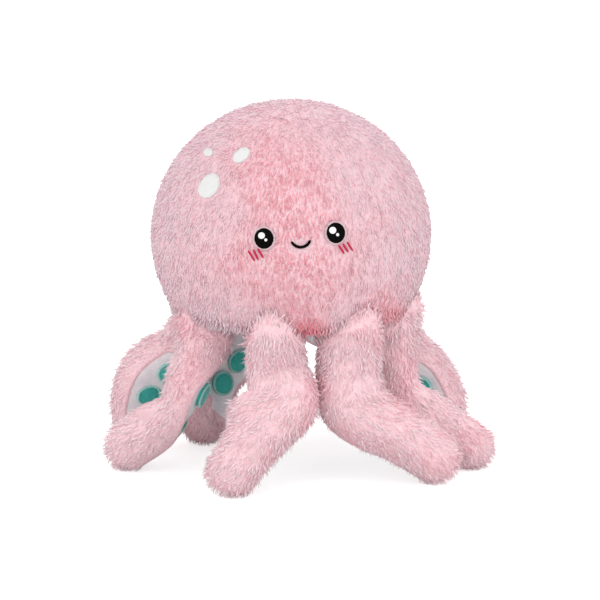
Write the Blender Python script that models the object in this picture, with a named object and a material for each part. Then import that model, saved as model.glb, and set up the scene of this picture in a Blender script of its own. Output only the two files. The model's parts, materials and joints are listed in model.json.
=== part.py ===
# A plush octopus that sits on its eight arms.
# Metres, +Z up, the face towards -Y, resting on z = 0, centred on its width and its depth.

import bmesh
import bpy
import math
from mathutils import Matrix, Vector
from mathutils.bvhtree import BVHTree

# Head: a stuffed ball, a little wider than tall, cut off by a flat base
head_radius = 0.1395
head_half_height = 0.135
head_centre_height = 0.227
base_height = 0.152
base_edge_inset = 0.01845
base_edge_rise = 0.014
base_panel_thickness = 0.005
pile_thickness = 0.009
head_segments = 32
head_steps = 11
lining_steps = 9
base_edge_steps = 3

# Arms: eight stuffed tubes hung on a ring under the head
arm_ring_inset = 0.013
arm_length = 0.165
arm_root_half_width = 0.031
arm_root_half_thickness = 0.021
arm_belly_half_width = 0.033
arm_belly_half_thickness = 0.0295
arm_tip_half_width = 0.0262
arm_tip_half_thickness = 0.025
arm_belly_share = 0.32
root_seat_depth = 0.002
floor_flat_depth = 0.0005
underside_inset = 0.0025

# Suckers: sewn on the underside in one row, smaller towards the tip
sucker_radii = (0.0130, 0.0125)
sucker_thickness = 0.0024
sucker_rim_height = 0.0032
sucker_rim_start_share = 0.80
sucker_rim_crest_share = 0.90
sucker_foot_share = 0.97
sucker_side_height_share = 0.33
sucker_segments = 12
seat_probe_shares = (0.5, 0.8, 1.0)

# Face, laid out on the front of the head
face_azimuth_deg = 3.84
face_elevation_deg = 12.15
face_tilt_deg = 3.7
eye_spacing = 0.0706
eye_half_width = 0.0097
eye_half_height = 0.0105
eye_thickness = 0.005
mouth_offset = 0.0003
mouth_drop = 0.0060
mouth_half_width = 0.0090
mouth_depth = 0.0061
mouth_line = 0.0028
mouth_end_share = 0.35
patch_proud = 0.0004
patch_segments = 20
mouth_segments = 10

# White spots: place on the head from the middle of the face, half sizes, turn
spot_thickness = 0.0045
spots = {
    "big": {"place": (-0.0970, 0.0580), "half_sizes": (0.0160, 0.0141), "turn_deg": 58.0},
    "middle": {"place": (-0.0602, 0.0918), "half_sizes": (0.0118, 0.0094), "turn_deg": 48.0},
    "small": {"place": (-0.1036, 0.1039), "half_sizes": (0.0088, 0.0063), "turn_deg": 137.0},
}

# Clearances between pieces that touch
touching_gap = 0.0003
filling_gap = 0.0009
seam_gap = 0.0016
root_gap = 0.0004
pocket_overrun = 0.012
merge_distance = 1e-7

# Fineness of the curved surfaces
crease_angle_deg = 50.0
root_seat_segments = 16
root_seat_bands = 8

edge_height_share = (base_height + base_edge_rise - head_centre_height) / head_half_height
base_radius = head_radius * math.sqrt(1 - edge_height_share**2) - base_edge_inset
arm_ring_radius = base_radius - arm_ring_inset
hinge_height = base_height + root_seat_depth - arm_root_half_thickness
tip_rest_share = (arm_tip_half_thickness - floor_flat_depth) / hinge_height

# Section of an arm, as shares of its half width and half thickness, from one edge of the
# flat underside round over the back to the other edge: (sideways, towards the underside)
half_section_shares = ((0.80, 0.72), (1.00, 0.25), (0.98, -0.28), (0.78, -0.70), (0.42, -0.93))
other_half_shares = tuple((-side, under) for side, under in reversed(half_section_shares))
section_shares = (*half_section_shares, (0.0, -1.0), *other_half_shares)

# Stations along an arm as shares of its length. The underside panel runs from the first to the last.
panel_shares = (0.12, 0.25, 0.38, 0.51, 0.64, 0.77, 0.89, 0.99)
sucker_shares = (0.40, 0.68)
dome_angles_deg = (62.0, 31.0)

# Arms by azimuth, measured from the front towards the viewer's right. Each route point is
# a pair of shares of arm_length, outwards and sideways, and a share of the hinge's height.
# The turns are how far the underside has twisted about the arm at a share of its length.
arms = {
    "front_left": {
        "azimuth_deg": -9.5,
        "route_shares": (
            (0.05, 0.008, 0.83),
            (0.105, 0.045, 0.72),
            (0.17, 0.055, 0.61),
            (0.28, -0.01, 0.48),
            (0.435, -0.18, tip_rest_share),
        ),
        "turns": (),
    },
    "front_right": {
        "azimuth_deg": 35.0,
        "route_shares": (
            (0.11, -0.02, 0.6),
            (0.233, 0.055, 0.45),
            (0.315, 0.146, 0.376),
            (0.459, 0.325, tip_rest_share),
        ),
        "turns": (),
    },
    "side_right": {
        "azimuth_deg": 78.0,
        "route_shares": (
            (0.087, 0.0, 0.797),
            (0.115, -0.016, 0.589),
            (0.187, -0.033, 0.4285),
            (0.342, -0.036, 0.307),
            (0.54, -0.04, tip_rest_share),
        ),
        "turns": (),
    },
    "rear_right": {
        "azimuth_deg": 121.0,
        "route_shares": (
            (0.19, -0.029, 0.695),
            (0.336, -0.102, 0.49),
            (0.39, -0.164, 0.335),
            (0.373, -0.195, tip_rest_share),
        ),
        "turns": ((0.62, -45.0),),
    },
    "back_right": {
        "azimuth_deg": 163.0,
        "route_shares": (
            (0.2, 0.0, 0.84),
            (0.4, -0.11, 0.68),
            (0.46, -0.21, 0.44),
            (0.45, -0.24, tip_rest_share),
        ),
        "turns": (),
    },
    "back_left": {
        "azimuth_deg": -147.0,
        "route_shares": (
            (0.05, 0.0, 0.74),
            (0.085, 0.135, 0.5),
            (0.05, 0.222, 0.31),
            (-0.02, 0.275, tip_rest_share),
        ),
        "turns": ((0.62, 32.0),),
    },
    "rear_left": {
        "azimuth_deg": -101.0,
        "route_shares": (
            (0.115, 0.0, 0.745),
            (0.3, 0.008, 0.6),
            (0.385, -0.025, 0.395),
            (0.4, -0.06, tip_rest_share),
        ),
        "turns": ((0.34, 64.0), (0.75, 48.0)),
    },
    "side_left": {
        "azimuth_deg": -60.0,
        "route_shares": (
            (0.139, 0.012, 0.767),
            (0.234, -0.013, 0.524),
            (0.338, -0.087, 0.328),
            (0.4375, -0.193, tip_rest_share),
        ),
        "turns": ((0.42, 42.0), (0.8, 5.0)),
    },
}
route_steps = 24
settle_passes = 4


def clear_scene():
    for old in list(bpy.data.objects):
        bpy.data.objects.remove(old, do_unlink=True)


def srgb(red, green, blue):
    def linear(level):
        value = level / 255
        return value / 12.92 if value <= 0.04045 else ((value + 0.055) / 1.055) ** 2.4

    return (linear(red), linear(green), linear(blue), 1.0)


def fabric(name, colour, roughness):
    material = bpy.data.materials.new(name)
    material.use_nodes = True
    shader = material.node_tree.nodes["Principled BSDF"]
    shader.inputs["Base Color"].default_value = colour
    shader.inputs["Roughness"].default_value = roughness
    shader.inputs["Metallic"].default_value = 0.0
    return material


def make_fabrics():
    return {
        "pile": fabric("pink_pile", srgb(238, 178, 188), 0.95),
        "minky": fabric("white_minky", srgb(228, 231, 236), 0.9),
        "filling": fabric("polyester_filling", srgb(240, 240, 238), 1.0),
        "sucker": fabric("teal_felt", srgb(40, 175, 155), 0.8),
        "black": fabric("black_embroidery", srgb(18, 17, 15), 0.55),
        "spot": fabric("white_satin", srgb(236, 238, 236), 0.7),
    }


def empty(name, parent, matrix):
    marker = bpy.data.objects.new(name, None)
    bpy.context.scene.collection.objects.link(marker)
    marker.parent = parent
    marker.matrix_local = matrix
    return marker


def solid(name, points, faces, material, parent, frame):
    """A closed mesh from points in the toy's frame, kept in the frame of the empty that carries it."""
    mesh = bpy.data.meshes.new(name)
    builder = bmesh.new()
    corners = [builder.verts.new(point) for point in points]
    for face in faces:
        builder.faces.new([corners[index] for index in face])
    bmesh.ops.recalc_face_normals(builder, faces=builder.faces)
    builder.to_mesh(mesh)
    builder.free()
    mesh.transform(frame.inverted())
    mesh.shade_smooth()
    mesh.set_sharp_from_angle(angle=math.radians(crease_angle_deg))
    mesh.materials.append(material)
    piece = bpy.data.objects.new(name, mesh)
    bpy.context.scene.collection.objects.link(piece)
    piece.parent = parent
    return piece


def cutter(piece, collection):
    piece.hide_render = True
    piece.display_type = "WIRE"
    bpy.context.scene.collection.objects.unlink(piece)
    collection.objects.link(piece)


def cut_by(piece, collection):
    cut = piece.modifiers.new("cut", "BOOLEAN")
    cut.operation = "DIFFERENCE"
    cut.operand_type = "COLLECTION"
    cut.collection = collection
    cut.solver = "EXACT"


def cutter_collection(name):
    collection = bpy.data.collections.new(name)
    bpy.context.scene.collection.children.link(collection)
    return collection


def turned(outline, segments, centre):
    """Points and faces of a solid of revolution. The outline starts and ends on the axis."""
    points = []
    rings = []
    for radius, height in outline:
        if radius == 0:
            rings.append([len(points)])
            points.append(centre + Vector((0, 0, height)))
            continue
        rings.append(list(range(len(points), len(points) + segments)))
        for step in range(segments):
            angle = 2 * math.pi * step / segments
            points.append(centre + Vector((radius * math.cos(angle), radius * math.sin(angle), height)))
    faces = []
    for first, second in zip(rings, rings[1:]):
        for step in range(segments):
            after = (step + 1) % segments
            if len(first) == 1:
                faces.append((first[0], second[step], second[after]))
            elif len(second) == 1:
                faces.append((first[step], second[0], first[after]))
            else:
                faces.append((first[step], second[step], second[after], first[after]))
    return points, faces


def ball_outline(inset, steps):
    """The head's profile from its top to where the base edge starts, drawn in by the inset."""
    radius = head_radius - inset
    half_height = head_half_height - inset
    edge_height = base_height + base_edge_rise
    last = math.asin((edge_height - head_centre_height) / half_height)
    outline = []
    for step in range(steps + 1):
        angle = math.pi / 2 + (last - math.pi / 2) * step / steps
        reach = radius * math.cos(angle) if step else 0
        outline.append((reach, head_centre_height + half_height * math.sin(angle)))
    return outline


def base_edge_outline():
    """The rounded corner between the ball and the flat base, tangent to both."""
    sine = (base_height + base_edge_rise - head_centre_height) / head_half_height
    cosine = math.sqrt(1 - sine * sine)
    start = Vector((head_radius * cosine, base_height + base_edge_rise))
    slope = head_radius * -sine / (head_half_height * cosine)
    corner = Vector((start.x - base_edge_rise * slope, base_height))
    end = Vector((base_radius, base_height))
    outline = []
    for step in range(1, base_edge_steps + 1):
        share = step / base_edge_steps
        point = start * (1 - share) ** 2 + corner * 2 * share * (1 - share) + end * share**2
        outline.append((point.x, point.y))
    return outline


def make_head(fabrics, toy):
    outside = ball_outline(0, head_steps) + base_edge_outline()
    inside = ball_outline(pile_thickness, lining_steps)
    wall_top = (base_radius, base_height + base_panel_thickness + touching_gap)
    points, faces = turned(outside + [wall_top] + inside[::-1], head_segments, Vector())
    cover = solid("head_cover", points, faces, fabrics["pile"], toy, Matrix())

    filling_outline = ball_outline(pile_thickness + filling_gap, lining_steps)
    filling_foot = base_height + base_panel_thickness + touching_gap
    filling_outline += [(base_radius - filling_gap, filling_foot + filling_gap)]
    filling_outline += [(base_radius - 2 * filling_gap, filling_foot), (0, filling_foot)]
    points, faces = turned(filling_outline, head_segments, Vector())
    solid("head_filling", points, faces, fabrics["filling"], toy, Matrix())

    panel_radius = base_radius - touching_gap
    panel_top = base_height + base_panel_thickness
    panel_outline = [(0, panel_top), (panel_radius, panel_top)]
    panel_outline += [(panel_radius, base_height), (0, base_height)]
    points, faces = turned(panel_outline, head_segments, Vector())
    panel = solid("base_panel", points, faces, fabrics["minky"], toy, Matrix())
    return cover, panel


def face_axes():
    azimuth = math.radians(face_azimuth_deg)
    elevation = math.radians(face_elevation_deg)
    level = Vector((math.sin(azimuth), -math.cos(azimuth), 0))
    forward = level * math.cos(elevation) + Vector((0, 0, math.sin(elevation)))
    across = Vector((math.cos(azimuth), math.sin(azimuth), 0))
    return forward, across, across.cross(-forward)


def on_head(across, up, proud):
    """A point on the ball, found by its distance along the surface from the middle of the face."""
    forward, side, upward = face_axes()
    away = math.hypot(across, up)
    angle = away / head_radius
    heading = (side * across + upward * up) / away if away else side
    way = forward * math.cos(angle) + heading * math.sin(angle)
    point = Vector((way.x * (head_radius + proud), way.y * (head_radius + proud), 0))
    point.z = head_centre_height + way.z * (head_half_height + proud)
    return point


def oval(across, up, half_length, half_width, turn_deg):
    turn = math.radians(turn_deg)
    outline = []
    for step in range(patch_segments):
        angle = 2 * math.pi * step / patch_segments
        along = half_length * math.cos(angle)
        beside = half_width * math.sin(angle)
        x = across + along * math.cos(turn) - beside * math.sin(turn)
        y = up + along * math.sin(turn) + beside * math.cos(turn)
        outline.append((x, y))
    return outline, (across, up)


def tilted(across, up):
    tilt = math.radians(face_tilt_deg)
    return (
        across * math.cos(tilt) - up * math.sin(tilt),
        across * math.sin(tilt) + up * math.cos(tilt),
    )


def smile(line_width):
    """The outline of the mouth: a band along a round arc, with round ends."""
    arc_radius = (mouth_half_width**2 + mouth_depth**2) / (2 * mouth_depth)
    half_angle = math.asin(min(1, mouth_half_width / arc_radius))
    middle_up = arc_radius - mouth_drop - mouth_depth
    lower = []
    upper = []
    for step in range(mouth_segments + 1):
        angle = half_angle * (2 * step / mouth_segments - 1)
        for row, side in ((lower, 1), (upper, -1)):
            radius = arc_radius + side * line_width / 2
            row.append((mouth_offset + radius * math.sin(angle), middle_up - radius * math.cos(angle)))
    ends = []
    for angle in (half_angle, -half_angle):
        reach = line_width * mouth_end_share
        x = mouth_offset + arc_radius * math.sin(angle) + math.copysign(reach, angle) * math.cos(angle)
        y = middle_up - arc_radius * math.cos(angle) + reach * math.sin(abs(angle))
        ends.append((x, y))
    loop = lower + [ends[0]] + upper[::-1] + [ends[1]]
    return [tilted(x, y) for x, y in loop]


def patch(name, outline, middle, thickness, material, toy, spread=0, deeper=0, prouder=0):
    """A thin piece let into the head's surface. With a spread it is the pocket for that piece."""
    centre = Vector(middle)
    points = []
    count = len(outline)
    for depth in (patch_proud + prouder, -thickness - deeper):
        for x, y in outline:
            from_middle = Vector((x, y)) - centre
            place = centre + from_middle * (1 + spread / from_middle.length)
            points.append(on_head(place.x, place.y, depth))
        points.append(on_head(centre.x, centre.y, depth))
    faces = []
    for step in range(count):
        after = (step + 1) % count
        faces.append((step, after, count))
        faces.append((count + 1 + after, count + 1 + step, 2 * count + 1))
        faces.append((step, count + 1 + step, count + 1 + after, after))
    return solid(name, points, faces, material, toy, Matrix())


def bent_band(name, width, material, toy, deeper=0, prouder=0):
    """The mouth, as a band of quads between its lower and its upper edge."""
    loop = smile(width)
    rows = mouth_segments + 1
    lower = loop[:rows]
    upper = loop[rows + 1 : 2 * rows + 1][::-1]
    outline = [loop[-1]] + [point for pair in zip(lower, upper) for point in pair] + [loop[rows]]
    points = []
    for depth in (patch_proud + prouder, -eye_thickness - deeper):
        points += [on_head(x, y, depth) for x, y in outline]
    count = len(outline)
    flat = [(0, 1, 2)]
    flat += [(2 * row + 1, 2 * row + 3, 2 * row + 4, 2 * row + 2) for row in range(mouth_segments)]
    flat.append((count - 3, count - 1, count - 2))
    faces = flat + [tuple(count + index for index in reversed(face)) for face in flat]
    rim = [0] + [2 * row + 1 for row in range(rows)] + [count - 1]
    rim += [2 * row + 2 for row in reversed(range(rows))]
    for first, second in zip(rim, rim[1:] + rim[:1]):
        faces.append((first, count + first, count + second, second))
    return solid(name, points, faces, material, toy, Matrix())


def make_face(fabrics, toy, pockets):
    half = eye_spacing / 2
    eye_sizes = (eye_half_height, eye_half_width, face_tilt_deg + 90)
    ovals = {
        "eye_left": (tilted(-half, 0), *eye_sizes, eye_thickness, "black"),
        "eye_right": (tilted(half, 0), *eye_sizes, eye_thickness, "black"),
    }
    for name, spot in spots.items():
        sizes = (*spot["half_sizes"], spot["turn_deg"])
        ovals[f"head_spot_{name}"] = (spot["place"], *sizes, spot_thickness, "spot")
    for name, (place, length, width, turn, thickness, kind) in ovals.items():
        outline, middle = oval(*place, length, width, turn)
        patch(name, outline, middle, thickness, fabrics[kind], toy)
        pocket = patch(
            f"{name}_pocket",
            outline,
            middle,
            thickness,
            fabrics["pile"],
            toy,
            spread=touching_gap,
            deeper=touching_gap,
            prouder=pocket_overrun,
        )
        cutter(pocket, pockets)
    bent_band("mouth", mouth_line, fabrics["black"], toy)
    wider = mouth_line + 2 * touching_gap
    pocket = bent_band(
        "mouth_pocket", wider, fabrics["pile"], toy, deeper=touching_gap, prouder=pocket_overrun
    )
    cutter(pocket, pockets)


def smooth_step(value):
    value = min(1, max(0, value))
    return value * value * (3 - 2 * value)


class Arm:
    """The route, frames and sections of one arm, in the toy's frame."""

    def __init__(self, plan):
        azimuth = math.radians(plan["azimuth_deg"])
        self.outward = Vector((math.sin(azimuth), -math.cos(azimuth), 0))
        self.sideward = Vector((math.cos(azimuth), math.sin(azimuth), 0))
        self.turns = plan["turns"]
        self.hinge = self.outward * arm_ring_radius + Vector((0, 0, hinge_height))
        self.knots = [self.hinge]
        for out, side, height in plan["route_shares"]:
            level = self.outward * (arm_ring_radius + out * arm_length) + self.sideward * side * arm_length
            self.knots.append(level + Vector((0, 0, height * hinge_height)))
        self.trace()
        for _ in range(settle_passes):
            lowest = min(point.z for ring in self.rings(0) for point in ring)
            self.knots[-1].z -= lowest + floor_flat_depth
            self.trace()

    def trace(self):
        """A smooth curve through the knots, kept as points at equal steps of its parameter."""
        knots = self.knots
        self.path = []
        for index, (start, end) in enumerate(zip(knots, knots[1:])):
            before = (end - knots[index - 1]) / 2 if index else end - start
            is_last = index + 2 == len(knots)
            after = end - start if is_last else (knots[index + 2] - start) / 2
            for step in range(route_steps + (1 if is_last else 0)):
                t = step / route_steps
                point = start * (2 * t**3 - 3 * t**2 + 1) + before * (t**3 - 2 * t**2 + t)
                self.path.append(point + end * (3 * t**2 - 2 * t**3) + after * (t**3 - t**2))
        self.reach = [0]
        for first, second in zip(self.path, self.path[1:]):
            self.reach.append(self.reach[-1] + (second - first).length)
        self.length = self.reach[-1]

    def at(self, share):
        """The point at this share of the length, and the direction there."""
        goal = share * self.length
        index = 0
        while index < len(self.path) - 2 and self.reach[index + 1] < goal:
            index += 1
        span = self.path[index + 1] - self.path[index]
        along = (goal - self.reach[index]) / span.length
        earlier = self.path[max(0, index - 1)]
        later = self.path[min(len(self.path) - 1, index + 2)]
        way = span if share in (0, 1) else later - earlier
        return self.path[index] + span * along, way.normalized()

    def turn_at(self, share):
        """How far the underside has twisted at this share of the length."""
        start, before = 0, 0
        for end, turn_deg in self.turns:
            if share < end:
                before += (turn_deg - before) * smooth_step((share - start) / (end - start))
                break
            start, before = end, turn_deg
        return math.radians(before)

    def side_at(self, share):
        """The direction across the arm, square to its route and to its twisted underside."""
        _, way = self.at(share)
        under = -(self.outward + Vector((0, 0, 1))).normalized()
        under = (under - way * under.dot(way)).normalized()
        twist = Matrix.Rotation(self.turn_at(share), 3, way)
        return (twist @ under).cross(way)

    def halves(self, share):
        """Half width and half thickness: it swells from the root and tapers to the tip."""
        if share < arm_belly_share:
            blend = smooth_step(share / arm_belly_share)
            start = (arm_root_half_width, arm_root_half_thickness)
            end = (arm_belly_half_width, arm_belly_half_thickness)
        else:
            blend = smooth_step((share - arm_belly_share) / (1 - arm_belly_share))
            start = (arm_belly_half_width, arm_belly_half_thickness)
            end = (arm_tip_half_width, arm_tip_half_thickness)
        return tuple(first + (last - first) * blend for first, last in zip(start, end))

    def section(self, share):
        centre, way = self.at(share)
        side = self.side_at(share)
        return centre, way, side, way.cross(side), *self.halves(share)

    def ring(self, share, inset, dome=0, toward=0):
        """One ring of points. A dome angle draws it in and moves it past the root or the tip."""
        centre, way, side, under, width, thickness = self.section(share)
        width -= inset
        thickness -= inset
        centre = centre + way * toward * thickness * math.sin(dome)
        roundness = 1 - smooth_step(share / panel_shares[0])
        points = []
        for across, down in section_shares:
            length = math.hypot(across, down)
            draw_in = 1 + (1 / max(1, length) - 1) * roundness
            draw_in *= math.cos(dome)
            points.append(centre + side * across * width * draw_in + under * down * thickness * draw_in)
        return points

    def rings(self, inset):
        """All rings from the root's pole to the tip's pole. A pole is a ring of one point."""
        centre, way, _, _, _, thickness = self.section(0)
        rings = [[centre - way * (thickness - inset)]]
        for angle in dome_angles_deg:
            rings.append(self.ring(0, inset, dome=math.radians(angle), toward=-1))
        for share in (0, *panel_shares):
            rings.append(self.ring(share, inset))
        for angle in reversed(dome_angles_deg):
            rings.append(self.ring(1, inset, dome=math.radians(angle), toward=1))
        centre, way, _, _, _, thickness = self.section(1)
        rings.append([centre + way * (thickness - inset)])
        return rings


def ring_faces(rings, first_index, skipped):
    """Faces between consecutive rings. Rows in skipped leave out the flat underside."""
    faces = []
    starts = []
    for ring in rings:
        starts.append(first_index)
        first_index += len(ring)
    count = len(section_shares)
    for row, (first, second) in enumerate(zip(rings, rings[1:])):
        a, b = starts[row], starts[row + 1]
        for step in range(count):
            after = (step + 1) % count
            if after == 0 and row in skipped:
                continue
            if len(first) == 1:
                faces.append((a, b + step, b + after))
            elif len(second) == 1:
                faces.append((a + step, b, a + after))
            else:
                faces.append((a + step, b + step, b + after))
                faces.append((a + step, b + after, a + after))
    return faces, starts


def cut_flat_on_floor(piece, frame):
    """Cuts away what lies below z = 0 and closes the cut with one flat face."""
    builder = bmesh.new()
    builder.from_mesh(piece.data)
    builder.transform(frame)
    everything = builder.verts[:] + builder.edges[:] + builder.faces[:]
    bmesh.ops.bisect_plane(
        builder,
        geom=everything,
        dist=merge_distance,
        plane_co=(0, 0, 0),
        plane_no=(0, 0, -1),
        clear_outer=True,
    )
    open_edges = [edge for edge in builder.edges if edge.is_boundary]
    bmesh.ops.holes_fill(builder, edges=open_edges)
    bmesh.ops.recalc_face_normals(builder, faces=builder.faces)
    builder.transform(frame.inverted())
    builder.to_mesh(piece.data)
    builder.free()


def make_arm_cover(name, arm, fabrics, hinge, frame):
    outside = arm.rings(0)
    inside = arm.rings(pile_thickness)
    first_row = len(dome_angles_deg) + 2
    last_row = first_row + len(panel_shares) - 1
    skipped = range(first_row, last_row)
    faces, outer_starts = ring_faces(outside, 0, skipped)
    outer_count = sum(len(ring) for ring in outside)
    inner_faces, inner_starts = ring_faces(inside, outer_count, skipped)
    faces += [tuple(reversed(face)) for face in inner_faces]
    last = len(section_shares) - 1
    for row in skipped:
        for corner in (0, last):
            outer = (outer_starts[row] + corner, outer_starts[row + 1] + corner)
            inner = (inner_starts[row] + corner, inner_starts[row + 1] + corner)
            faces.append((outer[0], inner[0], outer[1]))
            faces.append((inner[0], inner[1], outer[1]))
    for row in (first_row, last_row):
        a, b = outer_starts[row], outer_starts[row] + last
        c, d = inner_starts[row], inner_starts[row] + last
        faces.append((a, b, c))
        faces.append((b, d, c))
    points = [point for ring in outside + inside for point in ring]
    cover = solid(f"{name}_cover", points, faces, fabrics["pile"], hinge, frame)
    cut_flat_on_floor(cover, frame)
    return points, faces


def make_arm_filling(name, arm, fabrics, hinge, frame):
    rings = arm.rings(pile_thickness + filling_gap)
    faces, _ = ring_faces(rings, 0, ())
    points = [point for ring in rings for point in ring]
    solid(f"{name}_filling", points, faces, fabrics["filling"], hinge, frame)


def underside_levels(thickness):
    """Depths of the panel's outer and inner face below the arm's middle line."""
    under_share = section_shares[0][1]
    return under_share * thickness - underside_inset, under_share * (thickness - pile_thickness)


def make_arm_underside(name, arm, fabrics, hinge, frame):
    end_gap = touching_gap / arm.length
    rows = list(panel_shares)
    rows[0] += end_gap
    rows[-1] -= end_gap
    edge_share, under_share = section_shares[0]
    points = []
    for share in rows:
        centre, _, side, under, width, thickness = arm.section(share)
        outer_level, inner_level = underside_levels(thickness)
        rim = edge_share * width
        root = edge_share * (width - pile_thickness)
        lean = (rim - root) / (under_share * pile_thickness)
        inner_half = root - seam_gap
        outer_half = inner_half + lean * (outer_level - inner_level)
        for half, level in ((outer_half, outer_level), (inner_half, inner_level)):
            points.append(centre + under * level + side * half)
            points.append(centre + under * level - side * half)
    faces = [(0, 1, 3, 2)]
    for row in range(len(rows) - 1):
        a = 4 * row
        b = a + 4
        for first, second in ((0, 1), (1, 3), (2, 3), (0, 2)):
            faces.append((a + first, b + first, a + second))
            faces.append((b + first, b + second, a + second))
    end = 4 * (len(rows) - 1)
    faces.append((end, end + 1, end + 3, end + 2))
    solid(f"{name}_underside", points, faces, fabrics["minky"], hinge, frame)
    return points, faces


def surface_of(*shells):
    """The faces of several shells as one surface to lower a disc on to."""
    points = []
    faces = []
    for shell_points, shell_faces in shells:
        first = len(points)
        points += shell_points
        faces += [tuple(first + index for index in face) for face in shell_faces]
    return BVHTree.FromPolygons(points, faces)


def seat_height(surface, middle, along, side, up, radius):
    """How high above the middle a flat disc comes to lie when it is lowered on to the surface."""
    highest = 0
    for reach_share in seat_probe_shares:
        for step in range(2 * sucker_segments):
            angle = math.pi * step / sucker_segments
            edge = (along * math.cos(angle) + side * math.sin(angle)) * radius * reach_share
            hit, _, _, drop = surface.ray_cast(middle + edge + up * radius, -up)
            if hit is not None:
                highest = max(highest, radius - drop)
    return highest


def make_suckers(name, arm, surface, fabrics, hinge, frame):
    """Round felt discs with a raised rim, each lying on the panel."""
    for number, (share, radius) in enumerate(zip(sucker_shares, sucker_radii), 1):
        centre, along, side, up, _, thickness = arm.section(share)
        middle = centre + up * underside_levels(thickness)[0]
        seat = middle + up * (seat_height(surface, middle, along, side, up, radius) + touching_gap)
        place = Matrix.Identity(4)
        for column, axis in enumerate((along, side, up)):
            place.col[column][:3] = axis
        place.col[3][:3] = seat
        outline = (
            (0, sucker_thickness),
            (radius * sucker_rim_start_share, sucker_thickness),
            (radius * sucker_rim_crest_share, sucker_rim_height),
            (radius, sucker_thickness * sucker_side_height_share),
            (radius * sucker_foot_share, 0),
            (0, 0),
        )
        points, faces = turned(outline, sucker_segments, Vector())
        points = [place @ point for point in points]
        solid(f"{name}_sucker_{number}", points, faces, fabrics["sucker"], hinge, frame)


def root_cutter(name, arm, toy, material, cutters):
    """The seat of an arm's root in the base: the root is a solid of revolution about its hinge."""
    bands = root_seat_bands
    swell = 1 / math.cos(math.pi / root_seat_segments)
    outline = []
    for band in range(bands + 1):
        angle = math.pi / 2 - math.pi * band / bands
        reach = (arm_root_half_thickness + root_gap) * swell * swell * math.cos(angle)
        level = (arm_root_half_width + root_gap) * swell * math.sin(angle)
        outline.append((0 if band in (0, bands) else reach, level))
    points, faces = turned(outline, root_seat_segments, Vector())
    place = Matrix.Identity(4)
    upward = Vector((0, 0, 1))
    for column, axis in enumerate((arm.outward, upward, arm.outward.cross(upward))):
        place.col[column][:3] = axis
    place.col[3][:3] = arm.hinge
    points = [place @ point for point in points]
    cutter(solid(f"{name}_root_seat", points, faces, material, toy, Matrix()), cutters)


def make_arms(fabrics, toy, root_seats):
    for key, plan in arms.items():
        name = f"arm_{key}"
        arm = Arm(plan)
        heading = math.radians(plan["azimuth_deg"]) + math.pi
        frame = Matrix.Translation(arm.hinge) @ Matrix.Rotation(heading, 4, "Z")
        hinge = empty(f"{name}_hinge", toy, frame)
        cover = make_arm_cover(name, arm, fabrics, hinge, frame)
        make_arm_filling(name, arm, fabrics, hinge, frame)
        panel = make_arm_underside(name, arm, fabrics, hinge, frame)
        make_suckers(name, arm, surface_of(cover, panel), fabrics, hinge, frame)
        root_cutter(name, arm, toy, fabrics["pile"], root_seats)


def centre_on_origin(toy):
    """Moves the whole toy so that its width and depth are centred on the origin."""
    bpy.context.view_layer.update()
    places = []
    for piece in bpy.data.objects:
        if piece.type == "MESH" and not piece.hide_render:
            places += [piece.matrix_world @ vertex.co for vertex in piece.data.vertices]
    for axis in (0, 1):
        values = [place[axis] for place in places]
        toy.location[axis] = -(min(values) + max(values)) / 2
    bpy.context.view_layer.update()


def main():
    clear_scene()
    fabrics = make_fabrics()
    toy = empty("plush_octopus", None, Matrix())
    root_seats = cutter_collection("root_seats")
    pockets = cutter_collection("face_pockets")
    cover, panel = make_head(fabrics, toy)
    make_face(fabrics, toy, pockets)
    make_arms(fabrics, toy, root_seats)
    cut_by(cover, pockets)
    cut_by(panel, root_seats)
    centre_on_origin(toy)


main()
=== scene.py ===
# Plush octopus: long pink pile, white undersides with teal suckers, an embroidered face
import json
import math

import bmesh
import bpy
import numpy as np
from mathutils import Matrix, Vector

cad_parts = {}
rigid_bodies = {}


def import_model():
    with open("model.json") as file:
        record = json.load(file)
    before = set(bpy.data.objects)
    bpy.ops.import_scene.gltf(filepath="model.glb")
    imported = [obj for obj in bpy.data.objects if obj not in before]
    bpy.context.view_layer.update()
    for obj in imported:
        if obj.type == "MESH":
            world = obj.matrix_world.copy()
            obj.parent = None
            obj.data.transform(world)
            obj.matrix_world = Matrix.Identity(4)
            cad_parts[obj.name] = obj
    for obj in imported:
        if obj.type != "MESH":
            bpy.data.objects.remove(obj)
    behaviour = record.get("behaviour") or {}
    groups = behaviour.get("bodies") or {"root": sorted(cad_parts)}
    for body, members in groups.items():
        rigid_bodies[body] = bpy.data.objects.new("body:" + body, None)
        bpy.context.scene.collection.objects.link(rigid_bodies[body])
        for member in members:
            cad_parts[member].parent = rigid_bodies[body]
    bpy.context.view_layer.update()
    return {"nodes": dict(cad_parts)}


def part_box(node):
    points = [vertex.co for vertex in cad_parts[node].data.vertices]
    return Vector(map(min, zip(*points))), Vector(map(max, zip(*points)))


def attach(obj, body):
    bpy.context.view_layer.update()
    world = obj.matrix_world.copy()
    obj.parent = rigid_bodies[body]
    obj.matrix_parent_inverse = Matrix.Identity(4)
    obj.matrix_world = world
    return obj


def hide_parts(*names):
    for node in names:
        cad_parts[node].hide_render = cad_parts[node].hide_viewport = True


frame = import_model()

scene = bpy.context.scene
print("frame loaded,", len(frame["nodes"]), "nodes")


# Helpers for meshes

def linear(red, green, blue):
    levels = []
    for value in (red, green, blue):
        value /= 255
        levels.append(value / 12.92 if value <= 0.04045 else ((value + 0.055) / 1.055) ** 2.4)
    return (*levels, 1.0)


def addObject(name, mesh, material=None):
    mesh.shade_smooth()
    if material:
        mesh.materials.append(material)
    made = bpy.data.objects.new(name, mesh)
    scene.collection.objects.link(made)
    return made


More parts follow.
